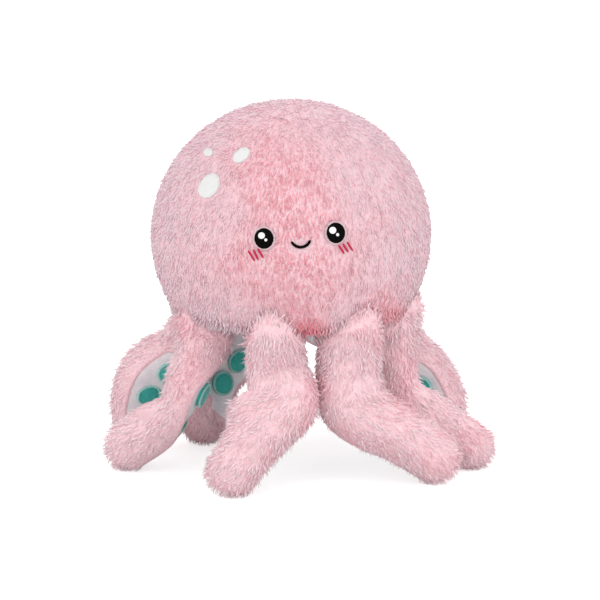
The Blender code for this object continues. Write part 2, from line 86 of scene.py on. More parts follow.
def meshPiece(name, points, faces, material=None, outward=True):
    mesh = bpy.data.meshes.new(name)
    mesh.from_pydata([tuple(point) for point in points], [], faces)
    if outward:
        work = bmesh.new()
        work.from_mesh(mesh)
        bmesh.ops.recalc_face_normals(work, faces=work.faces)
        work.to_mesh(mesh)
        work.free()
    return addObject(name, mesh, material)


def joinPieces(name, pieces):
    work = bmesh.new()
    for piece in pieces:
        work.from_mesh(piece.data)
        bpy.data.objects.remove(piece)
    mesh = bpy.data.meshes.new(name)
    work.to_mesh(mesh)
    work.free()
    return addObject(name, mesh)


def around(count):
    return [2 * math.pi * step / count for step in range(count)]


# quads between rows of points, with the columns closed to a ring or left open
def gridFaces(rows, columns, closed=True):
    faces = []
    for row in range(rows - 1):
        for column in range(columns if closed else columns - 1):
            after = (column + 1) % columns
            a = row * columns
            b = a + columns
            faces.append((a + column, b + column, b + after, a + after))
    return faces


# a skin through rings of points, closed by a pole at each end
def closeRings(rings, firstPole, lastPole):
    columns = len(rings[0])
    points = [point for ring in rings for point in ring] + [firstPole, lastPole]
    faces = gridFaces(len(rings), columns)
    first = len(points) - 2
    for pole, start in ((first, 0), (first + 1, first - columns)):
        faces += [(pole, start + column, start + (column + 1) % columns) for column in range(columns)]
    return points, faces


# a solid of revolution round Z, from pole to pole, set down by a matrix
def turnedPiece(name, outline, segments, place, material):
    rings = []
    turns = [(math.cos(turn), math.sin(turn)) for turn in around(segments)]
    for radius, height in outline[1:-1]:
        rings.append([place @ Vector((radius * x, radius * y, height)) for x, y in turns])
    poles = [place @ Vector((0, 0, outline[end][1])) for end in (0, -1)]
    return meshPiece(name, *closeRings(rings, *poles), material)


def smoothStep(value):
    value = min(1, max(0, value))
    return value * value * (3 - 2 * value)


# a smooth span between two knots that leaves and arrives with the given slopes
def spanPoint(start, end, before, after, t):
    point = start * (2 * t**3 - 3 * t**2 + 1) + before * (t**3 - 2 * t**2 + t)
    return point + end * (3 * t**2 - 2 * t**3) + after * (t**3 - t**2)


# hides the solids that a piece stands for and sets it on the body that it rides on
def finishPiece(piece, body, slot, *nodes):
    if nodes:
        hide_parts(*nodes)
    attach(piece, body)


# Helpers for node trees

def feed(tree, value, socket):
    if isinstance(value, bpy.types.NodeSocket):
        tree.links.new(value, socket)
    elif value is not None:
        socket.default_value = value


def addNode(tree, kind, inputs=None, **settings):
    made = tree.nodes.new(kind)
    for key, value in settings.items():
        setattr(made, key, value)
    for key, value in (inputs or {}).items():
        feed(tree, value, made.inputs[key])
    return made


def calc(tree, operation, first, second=None, third=None):
    made = addNode(tree, "ShaderNodeMath", operation=operation)
    for socket, value in zip(made.inputs, (first, second, third)):
        feed(tree, value, socket)
    return made.outputs[0]


def vectorCalc(tree, operation, first, second=None):
    made = addNode(tree, "ShaderNodeVectorMath", operation=operation)
    feed(tree, first, made.inputs[0])
    feed(tree, second, made.inputs["Scale"] if operation == "SCALE" else made.inputs[1])
    return made.outputs[0]


def mixColour(tree, factor, first, second):
    made = addNode(tree, "ShaderNodeMix", {0: factor, 6: first, 7: second}, data_type="RGBA")
    return made.outputs[2]


def attribute(tree, name):
    return addNode(tree, "ShaderNodeAttribute", attribute_name=name).outputs["Fac"]


def objectPlace(tree):
    return addNode(tree, "ShaderNodeTexCoord").outputs["Object"]


def noiseOf(tree, place, scale, detail, roughness=0.5):
    inputs = {"Vector": place, "Scale": scale, "Detail": detail, "Roughness": roughness}
    return addNode(tree, "ShaderNodeTexNoise", inputs).outputs["Fac"]


# a ramp through colours as red, green and blue up to 255
def rampOf(tree, value, stops):
    ramp = addNode(tree, "ShaderNodeValToRGB", {0: value})
    ramp.color_ramp.interpolation = "EASE"
    for index, (place, colour) in enumerate(stops):
        stop = ramp.color_ramp.elements[index] if index < 2 else ramp.color_ramp.elements.new(place)
        stop.position = place
        stop.color = linear(*colour)
    return ramp.outputs["Color"]


def newMaterial(name, **values):
    material = bpy.data.materials.new(name)
    material.use_nodes = True
    shader = material.node_tree.nodes["Principled BSDF"]
    for key, value in values.items():
        shader.inputs[key.replace("_", " ")].default_value = value
    return material, material.node_tree, shader


def addBump(tree, shader, height, strength, distance):
    bump = addNode(tree, "ShaderNodeBump", {"Height": height, "Strength": strength, "Distance": distance})
    tree.links.new(bump.outputs["Normal"], shader.inputs["Normal"])


# one pattern that gives a surface its colours and its relief
def dressSurface(tree, shader, pattern, stops, strength, distance):
    feed(tree, rampOf(tree, pattern, stops), shader.inputs["Base Color"])
    addBump(tree, shader, pattern, strength, distance)


# an empty tree with named inputs, listed by kind, and one geometry out
def newTree(name, sockets):
    tree = bpy.data.node_groups.new(name, "GeometryNodeTree")
    for kind, labels in sockets.items():
        for label in labels:
            tree.interface.new_socket(label, in_out="INPUT", socket_type=f"NodeSocket{kind}")
    tree.interface.new_socket("Geometry", in_out="OUTPUT", socket_type="NodeSocketGeometry")
    return tree, addNode(tree, "NodeGroupInput").outputs


# runs a tree on a host and keeps what it makes as one plain piece
def runTree(name, host, tree, values):
    modifier = host.modifiers.new("made", "NODES")
    modifier.node_group = tree
    for item in tree.interface.items_tree:
        if item.in_out == "INPUT" and item.name in values:
            modifier[item.identifier] = values[item.name]
    graph = bpy.context.evaluated_depsgraph_get()
    evaluated = host.evaluated_get(graph)
    mesh = bpy.data.meshes.new_from_object(evaluated, preserve_all_data_layers=True, depsgraph=graph)
    host.modifiers.remove(modifier)
    mesh.name = name
    return addObject(name, mesh)


# one number for each point of a piece
def addValues(piece, label, values):
    layer = piece.data.attributes.new(label, "FLOAT", "POINT")
    layer.data.foreach_set("value", np.array(values, np.float32))


def dropLayers(piece, *labels):
    layers = piece.data.attributes
    for label in labels:
        if label in layers:
            layers.remove(layers[label])


# The toy's shape, in metres, as in its solids

headShape = {
    "radius": 0.1395,
    "halfHeight": 0.135,
    "centreHeight": 0.227,
    "baseHeight": 0.152,
    "baseRadius": 0.106,
    "edgeRise": 0.014,
    "segments": 160,
    "steps": 72,
    "footSteps": 8,
}
faceShape = {"azimuth": 3.84, "elevation": 12.15, "tilt": 3.7}
armShape = {
    "ringRadius": 0.093,
    "length": 0.165,
    "rootWidth": 0.031,
    "rootThickness": 0.021,
    "bellyWidth": 0.033,
    "bellyThickness": 0.0295,
    "tipWidth": 0.0262,
    "tipThickness": 0.025,
    "bellyShare": 0.32,
    "seatDepth": 0.002,
    "floorFlat": 0.0005,
    "panelStart": 0.12,
    "panelEnd": 0.99,
    "panelInset": 0.0025,
    "sucker": ((0.40, 0.0130), (0.68, 0.0125)),
    "routeSteps": 24,
}
armShape["hingeHeight"] = headShape["baseHeight"] + armShape["seatDepth"] - armShape["rootThickness"]
tipRest = (armShape["tipThickness"] - armShape["floorFlat"]) / armShape["hingeHeight"]

# azimuth, route as shares (out, to the side, height), and turns (share of the length, degrees)
armPlans = {
    "front_left": (
        -9.5,
        (
            (0.05, 0.008, 0.83), (0.105, 0.045, 0.72), (0.17, 0.055, 0.61),
            (0.28, -0.01, 0.48), (0.435, -0.18, tipRest),
        ),
        (),
    ),
    "front_right": (
        35.0,
        ((0.11, -0.02, 0.6), (0.233, 0.055, 0.45), (0.315, 0.146, 0.376), (0.459, 0.325, tipRest)),
        (),
    ),
    "side_right": (
        78.0,
        (
            (0.087, 0.0, 0.797), (0.115, -0.016, 0.589), (0.187, -0.033, 0.4285),
            (0.342, -0.036, 0.307), (0.54, -0.04, tipRest),
        ),
        (),
    ),
    "rear_right": (
        121.0,
        ((0.19, -0.029, 0.695), (0.336, -0.102, 0.49), (0.39, -0.164, 0.335), (0.373, -0.195, tipRest)),
        ((0.62, -45.0),),
    ),
    "back_right": (
        163.0,
        ((0.2, 0.0, 0.84), (0.4, -0.11, 0.68), (0.46, -0.21, 0.44), (0.45, -0.24, tipRest)),
        (),
    ),
    "back_left": (
        -147.0,
        ((0.05, 0.0, 0.74), (0.085, 0.135, 0.5), (0.05, 0.222, 0.31), (-0.02, 0.275, tipRest)),
        ((0.62, 32.0),),
    ),
    "rear_left": (
        -101.0,
        ((0.115, 0.0, 0.745), (0.3, 0.008, 0.6), (0.385, -0.025, 0.395), (0.4, -0.06, tipRest)),
        ((0.34, 64.0), (0.75, 48.0)),
    ),
    "side_left": (
        -60.0,
        ((0.139, 0.012, 0.767), (0.234, -0.013, 0.524), (0.338, -0.087, 0.328), (0.4375, -0.193, tipRest)),
        ((0.42, 42.0), (0.8, 5.0)),
    ),
}
sectionShares = [(0.80, 0.72), (1.00, 0.25), (0.98, -0.28), (0.78, -0.70), (0.42, -0.93), (0.0, -1.0)]
sectionShares += [(-side, under) for side, under in reversed(sectionShares[:-1])]

baseLow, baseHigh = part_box("base_panel")
toyAxis = Vector(((baseLow.x + baseHigh.x) / 2, (baseLow.y + baseHigh.y) / 2, 0))


# (radius, height) and its way, from the crown over the ball and its rounded foot, drawn in by the inset
def headOutline(inset):
    plan = headShape
    sine = (plan["baseHeight"] + plan["edgeRise"] - plan["centreHeight"]) / plan["halfHeight"]
    last = math.asin(sine)
    outline = []
    for step in range(plan["steps"] + 1):
        angle = math.pi / 2 + (last - math.pi / 2) * step / plan["steps"]
        height = plan["centreHeight"] + plan["halfHeight"] * math.sin(angle)
        outline.append(Vector((plan["radius"] * math.cos(angle), height)))
    start = outline[-1]
    slope = plan["radius"] * -sine / (plan["halfHeight"] * math.cos(last))
    corner = Vector((start.x - plan["edgeRise"] * slope, plan["baseHeight"]))
    end = Vector((plan["baseRadius"], plan["baseHeight"]))
    for step in range(1, plan["footSteps"] + 1):
        share = step / plan["footSteps"]
        outline.append(start * (1 - share) ** 2 + corner * 2 * share * (1 - share) + end * share**2)
    moved = []
    for index, point in enumerate(outline):
        way = outline[min(index + 1, len(outline) - 1)] - outline[max(index - 1, 0)]
        way.normalize()
        out = Vector((-way.y, way.x))
        radius = 0 if index == 0 else max(0, point.x - out.x * inset)
        moved.append((Vector((radius, point.y - out.y * inset)), way))
    return moved


# a point above the ball, by its distance along the surface from the middle of the face
def onHead(across, up, proud):
    azimuth = math.radians(faceShape["azimuth"])
    elevation = math.radians(faceShape["elevation"])
    level = Vector((math.sin(azimuth), -math.cos(azimuth), 0))
    forward = level * math.cos(elevation) + Vector((0, 0, math.sin(elevation)))
    side = Vector((math.cos(azimuth), math.sin(azimuth), 0))
    upward = side.cross(-forward)
    away = math.hypot(across, up)
    angle = away / headShape["radius"]
    heading = (side * across + upward * up) / away if away else side
    way = forward * math.cos(angle) + heading * math.sin(angle)
    point = Vector((way.x, way.y, 0)) * (headShape["radius"] + proud) + toyAxis
    point.z = headShape["centreHeight"] + way.z * (headShape["halfHeight"] + proud)
    return point


def tilted(across, up):
    tilt = math.radians(faceShape["tilt"])
    return across * math.cos(tilt) - up * math.sin(tilt), across * math.sin(tilt) + up * math.cos(tilt)


# the curve, frames and sections of one arm
class ArmRoute:
    def __init__(self, azimuthDeg, route, turns):
        azimuth = math.radians(azimuthDeg)
        self.outward = Vector((math.sin(azimuth), -math.cos(azimuth), 0))
        self.sideward = Vector((math.cos(azimuth), math.sin(azimuth), 0))
        self.turns = turns
        hinge = self.outward * armShape["ringRadius"] + Vector((0, 0, armShape["hingeHeight"]))
        self.knots = [hinge]
        for out, side, height in route:
            level = self.outward * (armShape["ringRadius"] + out * armShape["length"])
            level += self.sideward * side * armShape["length"]
            self.knots.append(level + Vector((0, 0, height * armShape["hingeHeight"])))
        self.trace()
        for _ in range(4):  # rounds that set the tip down on the floor
            lowest = min(point.z for point in self.outerPoints())
            self.knots[-1].z -= lowest + armShape["floorFlat"]
            self.trace()

    def trace(self):
        knots = self.knots
        steps = armShape["routeSteps"]
        self.path = []
        for index, (start, end) in enumerate(zip(knots, knots[1:])):
            isLast = index + 2 == len(knots)
            before = (end - knots[index - 1]) / 2 if index else end - start
            after = end - start if isLast else (knots[index + 2] - start) / 2
            count = steps + 1 if isLast else steps
            self.path += [spanPoint(start, end, before, after, step / steps) for step in range(count)]
        self.reach = [0]
        for first, second in zip(self.path, self.path[1:]):
            self.reach.append(self.reach[-1] + (second - first).length)

    def at(self, share):
        goal = share * self.reach[-1]
        index = 0
        while index < len(self.path) - 2 and self.reach[index + 1] < goal:
            index += 1
        span = self.path[index + 1] - self.path[index]
        along = (goal - self.reach[index]) / span.length
        earlier = self.path[max(0, index - 1)]
        later = self.path[min(len(self.path) - 1, index + 2)]
        way = span if share in (0, 1) else (later - earlier)
        return self.path[index] + span * along, way.normalized()

    def turnAt(self, share):
        start, before = 0, 0
        for end, turnDeg in self.turns:
            if share < end:
                before += (turnDeg - before) * smoothStep((share - start) / (end - start))
                break
            start, before = end, turnDeg
        return math.radians(before)

    # centre, way, side, under, half width and half thickness at a share of the length
    def section(self, share):
        centre, way = self.at(share)
        under = -(self.outward + Vector((0, 0, 1))).normalized()
        under = (under - way * under.dot(way)).normalized()
        under = Matrix.Rotation(self.turnAt(share), 3, way) @ under
        side = under.cross(way)
        belly = armShape["bellyShare"]
        isRoot = share < belly
        blend = smoothStep(share / belly if isRoot else (share - belly) / (1 - belly))
        ends = ("root", "belly") if isRoot else ("belly", "tip")
        sizes = []
        for kind in ("Width", "Thickness"):
            first, last = (armShape[end + kind] for end in ends)
            sizes.append(first + (last - first) * blend)
        return centre, way, side, way.cross(side), *sizes

    def ring(self, share, inset, shares, dome=0.0, toward=0):
        centre, way, side, under, width, thickness = self.section(share)
        width -= inset
        thickness -= inset
        centre = centre + way * toward * thickness * math.sin(dome)
        roundness = 1 - smoothStep(share / armShape["panelStart"])
        points = []
        for across, down in shares:
            length = math.hypot(across, down)
            drawIn = (1 + (1 / max(1, length) - 1) * roundness) * math.cos(dome)
            points.append(centre + side * across * width * drawIn + under * down * thickness * drawIn)
        return points

    # the middle of a rounded end and the arm's way there
    def pole(self, toward, inset=0):
        centre, way, _, _, _, thickness = self.section(max(0, toward))
        return centre + way * toward * (thickness - inset), way

    def outerPoints(self):
        stations = (0, 0.12, 0.25, 0.38, 0.51, 0.64, 0.77, 0.89, 0.99)
        points = [point for share in stations for point in self.ring(share, 0, sectionShares)]
        for share, toward in ((0, -1), (1, 1)):
            for domeDeg in (62, 31):
                points += self.ring(share, 0, sectionShares, math.radians(domeDeg), toward)
            points.append(self.pole(toward)[0])
        return points


armRoutes = {key: ArmRoute(*plan) for key, plan in armPlans.items()}
for route in armRoutes.values():
    route.path = [point + toyAxis for point in route.path]
print("routes of", len(armRoutes), "arms traced")


# Materials

# colours by the rose value, from pale to deep, which also holds the painted shade low on the head; blotch is
# a noise scale and strength
pileColours = {
    "arm": {
        "roots": ((0.0, (254, 222, 229)), (0.5, (253, 196, 206)), (1.0, (238, 116, 134))),
        "tips": ((0.0, (255, 236, 241)), (0.5, (254, 214, 221)), (1.0, (246, 150, 164))),
        "fleck": (246, 178, 192),
        "blotch": (17.0, 2.2),
        "glint": (255, 240, 244),
    },
    # the head's colours are the arms' pile made darker and greyer: painted shade over the whole head
    "head": {
        "roots": ((0.0, (243, 216, 225)), (0.5, (248, 181, 191)), (1.0, (238, 132, 147))),
        "tips": ((0.0, (244, 225, 232)), (0.5, (250, 190, 199)), (1.0, (243, 146, 158))),
        "fleck": (230, 140, 162),
        "blotch": (26.0, 0.5),
        "glint": (250, 228, 234),
    },
}
pileLook = {
    "tipBlend": 0.7,
    "fleckShare": 0.07,
    "fleck": 0.40,
    "glintAbove": 0.55,
    "glint": 0.55,
    "strandsAcross": 2.6,
    "strandsAlong": 0.8,
    "strandsApart": 40.0,
    "strandScale": 2.2,
    "gapFrom": 0.52,
    "gapTo": 0.36,
    "gap": 0.10,
    "bump": 0.10,
    "bumpDepth": 0.001,
}


# colour by height in the pile, darker towards the roots as painted shade deep in the pile, by rose tint and
# its painted shade low on the head, by blotches, and the odd darker or paler tuft
def makePileMaterial(name, colours):
    look = pileLook
    material, tree, shader = newMaterial(
        name, Roughness=0.9, Specular_IOR_Level=0.1, Sheen_Weight=0.12, Sheen_Roughness=0.5,
    )
    scale, strength = colours["blotch"]
    blotches = noiseOf(tree, objectPlace(tree), scale, 2.0)
    rose = calc(tree, "MULTIPLY_ADD", blotches, strength, attribute(tree, "rose"))
    rose = calc(tree, "SUBTRACT", rose, strength / 2)
    along = attribute(tree, "along")
    tone = attribute(tree, "tone")
    roots, tips = (rampOf(tree, rose, colours[part]) for part in ("roots", "tips"))
    coloured = mixColour(tree, calc(tree, "POWER", along, look["tipBlend"]), roots, tips)
    fleck = calc(tree, "MULTIPLY", calc(tree, "LESS_THAN", tone, look["fleckShare"]), look["fleck"])
    coloured = mixColour(tree, fleck, coloured, linear(*colours["fleck"]))
    glint = calc(tree, "MAXIMUM", calc(tree, "SUBTRACT", tone, look["glintAbove"]), 0.0)
    glint = calc(tree, "MULTIPLY", calc(tree, "MULTIPLY", glint, along), look["glint"])
    coloured = mixColour(tree, glint, coloured, linear(*colours["glint"]))
    strands = {
        0: calc(tree, "MULTIPLY", attribute(tree, "across"), look["strandsAcross"]),
        1: calc(tree, "MULTIPLY", along, look["strandsAlong"]),
        2: calc(tree, "MULTIPLY", tone, look["strandsApart"]),
    }
    strands = addNode(tree, "ShaderNodeCombineXYZ", strands).outputs[0]
    streaks = noiseOf(tree, strands, look["strandScale"], 2.0)
    # where the strand streaks part, the colour darkens to the roots' colour: painted shade between the fibres
    gaps = {"Value": streaks, 1: look["gapFrom"], 2: look["gapTo"], 4: look["gap"]}
    gap = addNode(tree, "ShaderNodeMapRange", gaps).outputs[0]
    feed(tree, mixColour(tree, gap, coloured, roots), shader.inputs["Base Color"])
    addBump(tree, shader, streaks, look["bump"], look["bumpDepth"])
    return material


def makeMinkyMaterial():
    material, tree, shader = newMaterial("whiteMinky", Roughness=0.8, Sheen_Weight=0.3, Sheen_Roughness=0.4)
    place = objectPlace(tree)
    nap = calc(tree, "MULTIPLY", noiseOf(tree, place, 900.0, 3.0, 0.6), 0.5)
    folds = noiseOf(tree, place, 70.0, 2.0)
    mixed = calc(tree, "MULTIPLY_ADD", folds, 0.6, nap)
    # the darker, bluish end of the ramp, where the folds and nap dip, is painted shade; the bump is the
    # folds' relief
    dressSurface(tree, shader, mixed, ((0.35, (238, 239, 246)), (0.62, (253, 253, 255))), 0.6, 0.0015)
    return material


# short nap: felt, cotton thread, or the skin under the pile
def makeNapMaterial(name, dark, light, scale, depth, strength=0.5, grain=0.65, roughness=0.75, sheen=0.2):
    material, tree, shader = newMaterial(name, Roughness=roughness, Sheen_Weight=sheen)
    nap = noiseOf(tree, objectPlace(tree), scale, 3.0, grain)
    dressSurface(tree, shader, nap, ((0.3, dark), (0.7, light)), strength, depth)
    return material


def makeBackingMaterial(name, dark, light):
    finish = {"strength": 0.8, "grain": 0.5, "roughness": 0.95, "sheen": 0.0}
    return makeNapMaterial(name, dark, light, 420.0, 0.002, **finish)


def makeThreadMaterial(name, dark, light, shine, wavesPerMetre, turn=(0.0, 0.0, 0.0)):
    material, tree, shader = newMaterial(name, Roughness=0.6, Specular_IOR_Level=shine)
    turned = addNode(tree, "ShaderNodeMapping", {"Vector": objectPlace(tree), "Rotation": turn})
    waves = {"Scale": wavesPerMetre, "Distortion": 1.2, "Detail": 2.0, "Detail Scale": 0.4}
    waves["Vector"] = turned.outputs[0]
    threads = addNode(tree, "ShaderNodeTexWave", waves, bands_direction="X").outputs["Fac"]
    dressSurface(tree, shader, threads, ((0.15, dark), (0.75, light)), 0.5, 0.0004)
    return material


pile = {kind: makePileMaterial(f"{kind}Pile", colours) for kind, colours in pileColours.items()}
backing = {
    # the head's backing is darker than the arms' backing of the same cloth: painted shade
    "head": makeBackingMaterial("headBacking", (240, 194, 203), (247, 212, 219)),
    "arm": makeBackingMaterial("armBacking", (251, 206, 214), (255, 224, 230)),
}
minky = makeMinkyMaterial()
teal = makeNapMaterial("tealFelt", (28, 164, 152), (62, 200, 188), 800.0, 0.0008)
mint = makeNapMaterial("mintThread", (150, 226, 216), (206, 246, 240), 1500.0, 0.0003)
black = makeThreadMaterial("blackThread", (4, 3, 3), (15, 13, 12), 0.03, 230.0)
white = makeNapMaterial("whiteThread", (236, 238, 240), (253, 253, 253), 1200.0, 0.0003)
rosy = makeNapMaterial("paleOutline", (252, 218, 224), (255, 240, 243), 1500.0, 0.0003)
crimson = makeNapMaterial("crimsonThread", (176, 10, 62), (206, 26, 82), 1500.0, 0.0003)
satin = makeThreadMaterial("whiteSatin", (226, 228, 227), (243, 243, 242), 0.15, 260.0, (0.0, 0.6, 0.4))
print("materials made")


# Tufts: a few shapes of tuft, set all over a surface by one tree

tuftCount = 6  # shapes in each set
tuftPlans = {
    "arm": {
        "length": 0.0095, "bend": 0.24, "wave": 0.28, "halfWidth": 0.0011, "halfDepth": 0.0004,
        "sides": 4, "lock": ((-0.08, 0.7), (0.45, 1.0), (1.0, 0.0)),
        "hairs": 1, "hairWidth": 0.0004, "spread": 0.0018, "hair": ((-0.05, 1.0), (0.55, 0.8), (1.1, 0.0)),
    },
    "head": {
        "length": 0.0058, "bend": 0.28, "wave": 0.18, "halfWidth": 0.0009, "halfDepth": 0.0004,
        "sides": 4, "lock": ((-0.08, 0.8), (0.50, 0.9), (1.0, 0.0)),
        "hairs": 1, "hairWidth": 0.0003, "spread": 0.0014, "hair": ((-0.05, 1.0), (1.15, 0.0)),
    },
}
tuftBend = {"gather": 0.4, "curl": 1.5, "sag": 0.12}


# one lock of pile that rises along Z and bends towards X, with a few loose hairs beside it
def tuftShape(name, plan, material, chance):
    points, faces, along, across, maps = [], [], [], [], []
    foot, middle, tip = 0.06, 0.5, 0.94  # heights in the tuft's map

    # cell is the strip of the tuft's map that the strand fills
    def addStrand(root, rings, sizes, sides, cell):
        reach = plan["length"] * chance.uniform(0.8, 1.1)
        sideways = Vector((chance.normal(0, plan["wave"]), chance.normal(0, plan["wave"]), 0)) * reach
        first = len(points)
        for share, swell in rings:
            rise = max(0, share)
            centre = root * (1 - tuftBend["gather"] * rise) + sideways * rise ** tuftBend["curl"]
            bent = plan["bend"] * reach * share * abs(share)
            centre += Vector((bent, 0, reach * share * (1 - tuftBend["sag"] * rise)))
            for corner in range(sides if swell else 1):
                angle = 2 * math.pi * (corner + 0.5) / sides
                off = Vector((math.cos(angle) * sizes[0], math.sin(angle) * sizes[1], 0)) * swell
                off.z = -off.x * 2 * plan["bend"] * rise
                points.append(centre + off)
                along.append(rise)
                across.append(math.sin(angle) if swell else 0)
        for corner in range(sides):
            after = (corner + 1) % sides
            a, b = (cell[0] + (cell[1] - cell[0]) * step / sides for step in (corner, corner + 1))
            for span in range(len(rings) - 2):
                low, high = first + sides * span, first + sides * (span + 1)
                faces.append((low + corner, low + after, high + after, high + corner))
                maps.extend(((a, foot), (b, foot), (b, middle), (a, middle)))
            low = first + sides * (len(rings) - 2)
            faces.append((low + corner, low + after, low + sides))
            maps.extend(((a, middle), (b, middle), ((a + b) / 2, tip)))

    addStrand(Vector(), plan["lock"], (plan["halfDepth"], plan["halfWidth"]), plan["sides"], (0.05, 0.6))
    for hair in range(plan["hairs"]):
        angle = 2 * math.pi * chance.uniform()
        root = Vector((math.cos(angle), math.sin(angle), 0)) * plan["spread"] * chance.uniform(0.4, 1)
        cell = (0.65 + 0.3 * hair / plan["hairs"], 0.65 + 0.3 * (hair + 0.9) / plan["hairs"])
        addStrand(root, plan["hair"], (plan["hairWidth"], plan["hairWidth"]), 3, cell)
    piece = meshPiece(name, points, faces, material, outward=False)
    addValues(piece, "along", along)
    addValues(piece, "across", across)
    layer = piece.data.uv_layers.new(name="OFBake")
    layer.data.foreach_set("uv", np.array(maps, np.float32).ravel())
    return piece


tuftSets = {}
for kind, plan in tuftPlans.items():
    tuftSets[kind] = bpy.data.collections.new(f"{kind}Tufts")
    chance = np.random.default_rng(7)
    for number in range(tuftCount):
        shape = tuftShape(f"{kind}Tuft{number}", plan, pile[kind], chance)
        scene.collection.objects.unlink(shape)
        tuftSets[kind].objects.link(shape)


pileSockets = {
    "Geometry": ("Geometry",),
    "Collection": ("Tufts",),
    "Material": ("Material",),
    "Int": ("Seed",),
    "Float": (
        "Spacing", "Most", "Stand", "Lean", "Mess", "Mess scale", "Jitter",
        "Shortest", "Longest", "Spin", "Floor", "Clear margin", "Clear fade", "Clear share",
    ),
    "Object": ("Keep clear",),
}


# tufts on a surface that says, point by point, how dense and long they are and where they lie
def makePileTree(name, nearFace):
    tree, start = newTree(name, pileSockets)
    seed = start["Seed"]

    def named(label, kind="FLOAT"):
        made = addNode(tree, "GeometryNodeInputNamedAttribute", {"Name": label}, data_type=kind)
        return made.outputs["Attribute"]

    def randomValue(low, high, shift):
        made = addNode(tree, "FunctionNodeRandomValue", {2: low, 3: high, 8: calc(tree, "ADD", seed, shift)})
        return made.outputs[1]

    def store(geometry, label, kind, domain, value):
        inputs = {"Geometry": geometry, "Name": label, "Value": value}
        made = addNode(tree, "GeometryNodeStoreNamedAttribute", inputs, data_type=kind, domain=domain)
        return made.outputs["Geometry"]

    sown = {"Mesh": start["Geometry"], "Distance Min": start["Spacing"], "Density Max": start["Most"]}
    sown.update({"Density Factor": named("density"), "Seed": seed})
    scatter = addNode(tree, "GeometryNodeDistributePointsOnFaces", sown, distribute_method="POISSON")
    points = scatter.outputs["Points"]
    length = calc(tree, "MULTIPLY", named("pile"), randomValue(start["Shortest"], start["Longest"], 1))
    lean = start["Lean"]
    if nearFace:
        clear = addNode(tree, "GeometryNodeObjectInfo", {"Object": start["Keep clear"]}).outputs["Geometry"]
        near = addNode(tree, "GeometryNodeProximity", {0: clear}).outputs["Distance"]
        tooNear = {"Geometry": points, "Selection": calc(tree, "LESS_THAN", near, start["Clear margin"])}
        points = addNode(tree, "GeometryNodeDeleteGeometry", tooNear, domain="POINT").outputs["Geometry"]
        span = {"Value": near, 1: start["Clear margin"], 2: start["Clear fade"]}
        span.update({3: start["Clear share"], 4: 1.0})
        easing = addNode(tree, "ShaderNodeMapRange", span, interpolation_type="SMOOTHSTEP").outputs[0]
        length = calc(tree, "MULTIPLY", length, easing)
        lean = calc(tree, "MULTIPLY", lean, easing)
    lay = named("lay", "FLOAT_VECTOR")
    noise = addNode(tree, "ShaderNodeTexNoise", {"Scale": start["Mess scale"], "Detail": 1.0})
    drift = vectorCalc(tree, "SUBTRACT", noise.outputs["Color"], (0.5, 0.5, 0.5))
    cube = {0: (-1, -1, -1), 1: (1, 1, 1), 8: seed}
    jitter = addNode(tree, "FunctionNodeRandomValue", cube, data_type="FLOAT_VECTOR").outputs[0]
    way = vectorCalc(tree, "SCALE", scatter.outputs["Normal"], start["Stand"])
    for direction, amount in ((lay, lean), (drift, start["Mess"]), (jitter, start["Jitter"])):
        way = vectorCalc(tree, "ADD", way, vectorCalc(tree, "SCALE", direction, amount))
    upright = addNode(tree, "FunctionNodeAlignRotationToVector", {"Vector": way}, axis="Z")
    facing = {"Rotation": upright.outputs[0], "Vector": lay}
    facing = addNode(tree, "FunctionNodeAlignRotationToVector", facing, axis="X", pivot_axis="Z")
    spinAngle = randomValue(calc(tree, "MULTIPLY", start["Spin"], -1.0), start["Spin"], 2)
    spin = addNode(tree, "FunctionNodeAxisAngleToRotation", {"Axis": (0, 0, 1), "Angle": spinAngle})
    spun = {"Rotation": facing.outputs[0], "Rotate By": spin.outputs[0]}
    spun = addNode(tree, "FunctionNodeRotateRotation", spun, rotation_space="LOCAL")
    shapes = {"Collection": start["Tufts"], "Separate Children": True, "Reset Children": True}
    shapes = addNode(tree, "GeometryNodeCollectionInfo", shapes).outputs[0]
    choice = {4: 0, 5: tuftCount - 1, 8: calc(tree, "ADD", seed, 3)}
    choice = addNode(tree, "FunctionNodeRandomValue", choice, data_type="INT").outputs[2]
    planted = {"Points": points, "Instance": shapes, "Pick Instance": True, "Instance Index": choice}
    planted.update({"Rotation": spun.outputs[0], "Scale": length})
    planted = addNode(tree, "GeometryNodeInstanceOnPoints", planted).outputs[0]
    number = addNode(tree, "GeometryNodeInputIndex").outputs[0]
    tufts = store(planted, "cell", "FLOAT", "INSTANCE", number)
    tufts = store(tufts, "tone", "FLOAT", "INSTANCE", randomValue(0.0, 1.0, 4))
    real = addNode(tree, "GeometryNodeRealizeInstances", {"Geometry": tufts}).outputs[0]
    # every tuft's map gets its own square of one grid
    count = addNode(tree, "GeometryNodeAttributeDomainSize", {"Geometry": points}, component="POINTCLOUD")
    across = calc(tree, "CEIL", calc(tree, "SQRT", count.outputs["Point Count"]))
    cell = named("cell")
    row = calc(tree, "FLOOR", calc(tree, "DIVIDE", cell, across))
    corner = addNode(tree, "ShaderNodeCombineXYZ", {0: calc(tree, "FLOORED_MODULO", cell, across), 1: row})
    place = vectorCalc(tree, "ADD", corner.outputs[0], named("OFBake", "FLOAT_VECTOR"))
    place = vectorCalc(tree, "SCALE", place, calc(tree, "DIVIDE", 1.0, across))
    real = store(real, "OFBake", "FLOAT2", "CORNER", place)
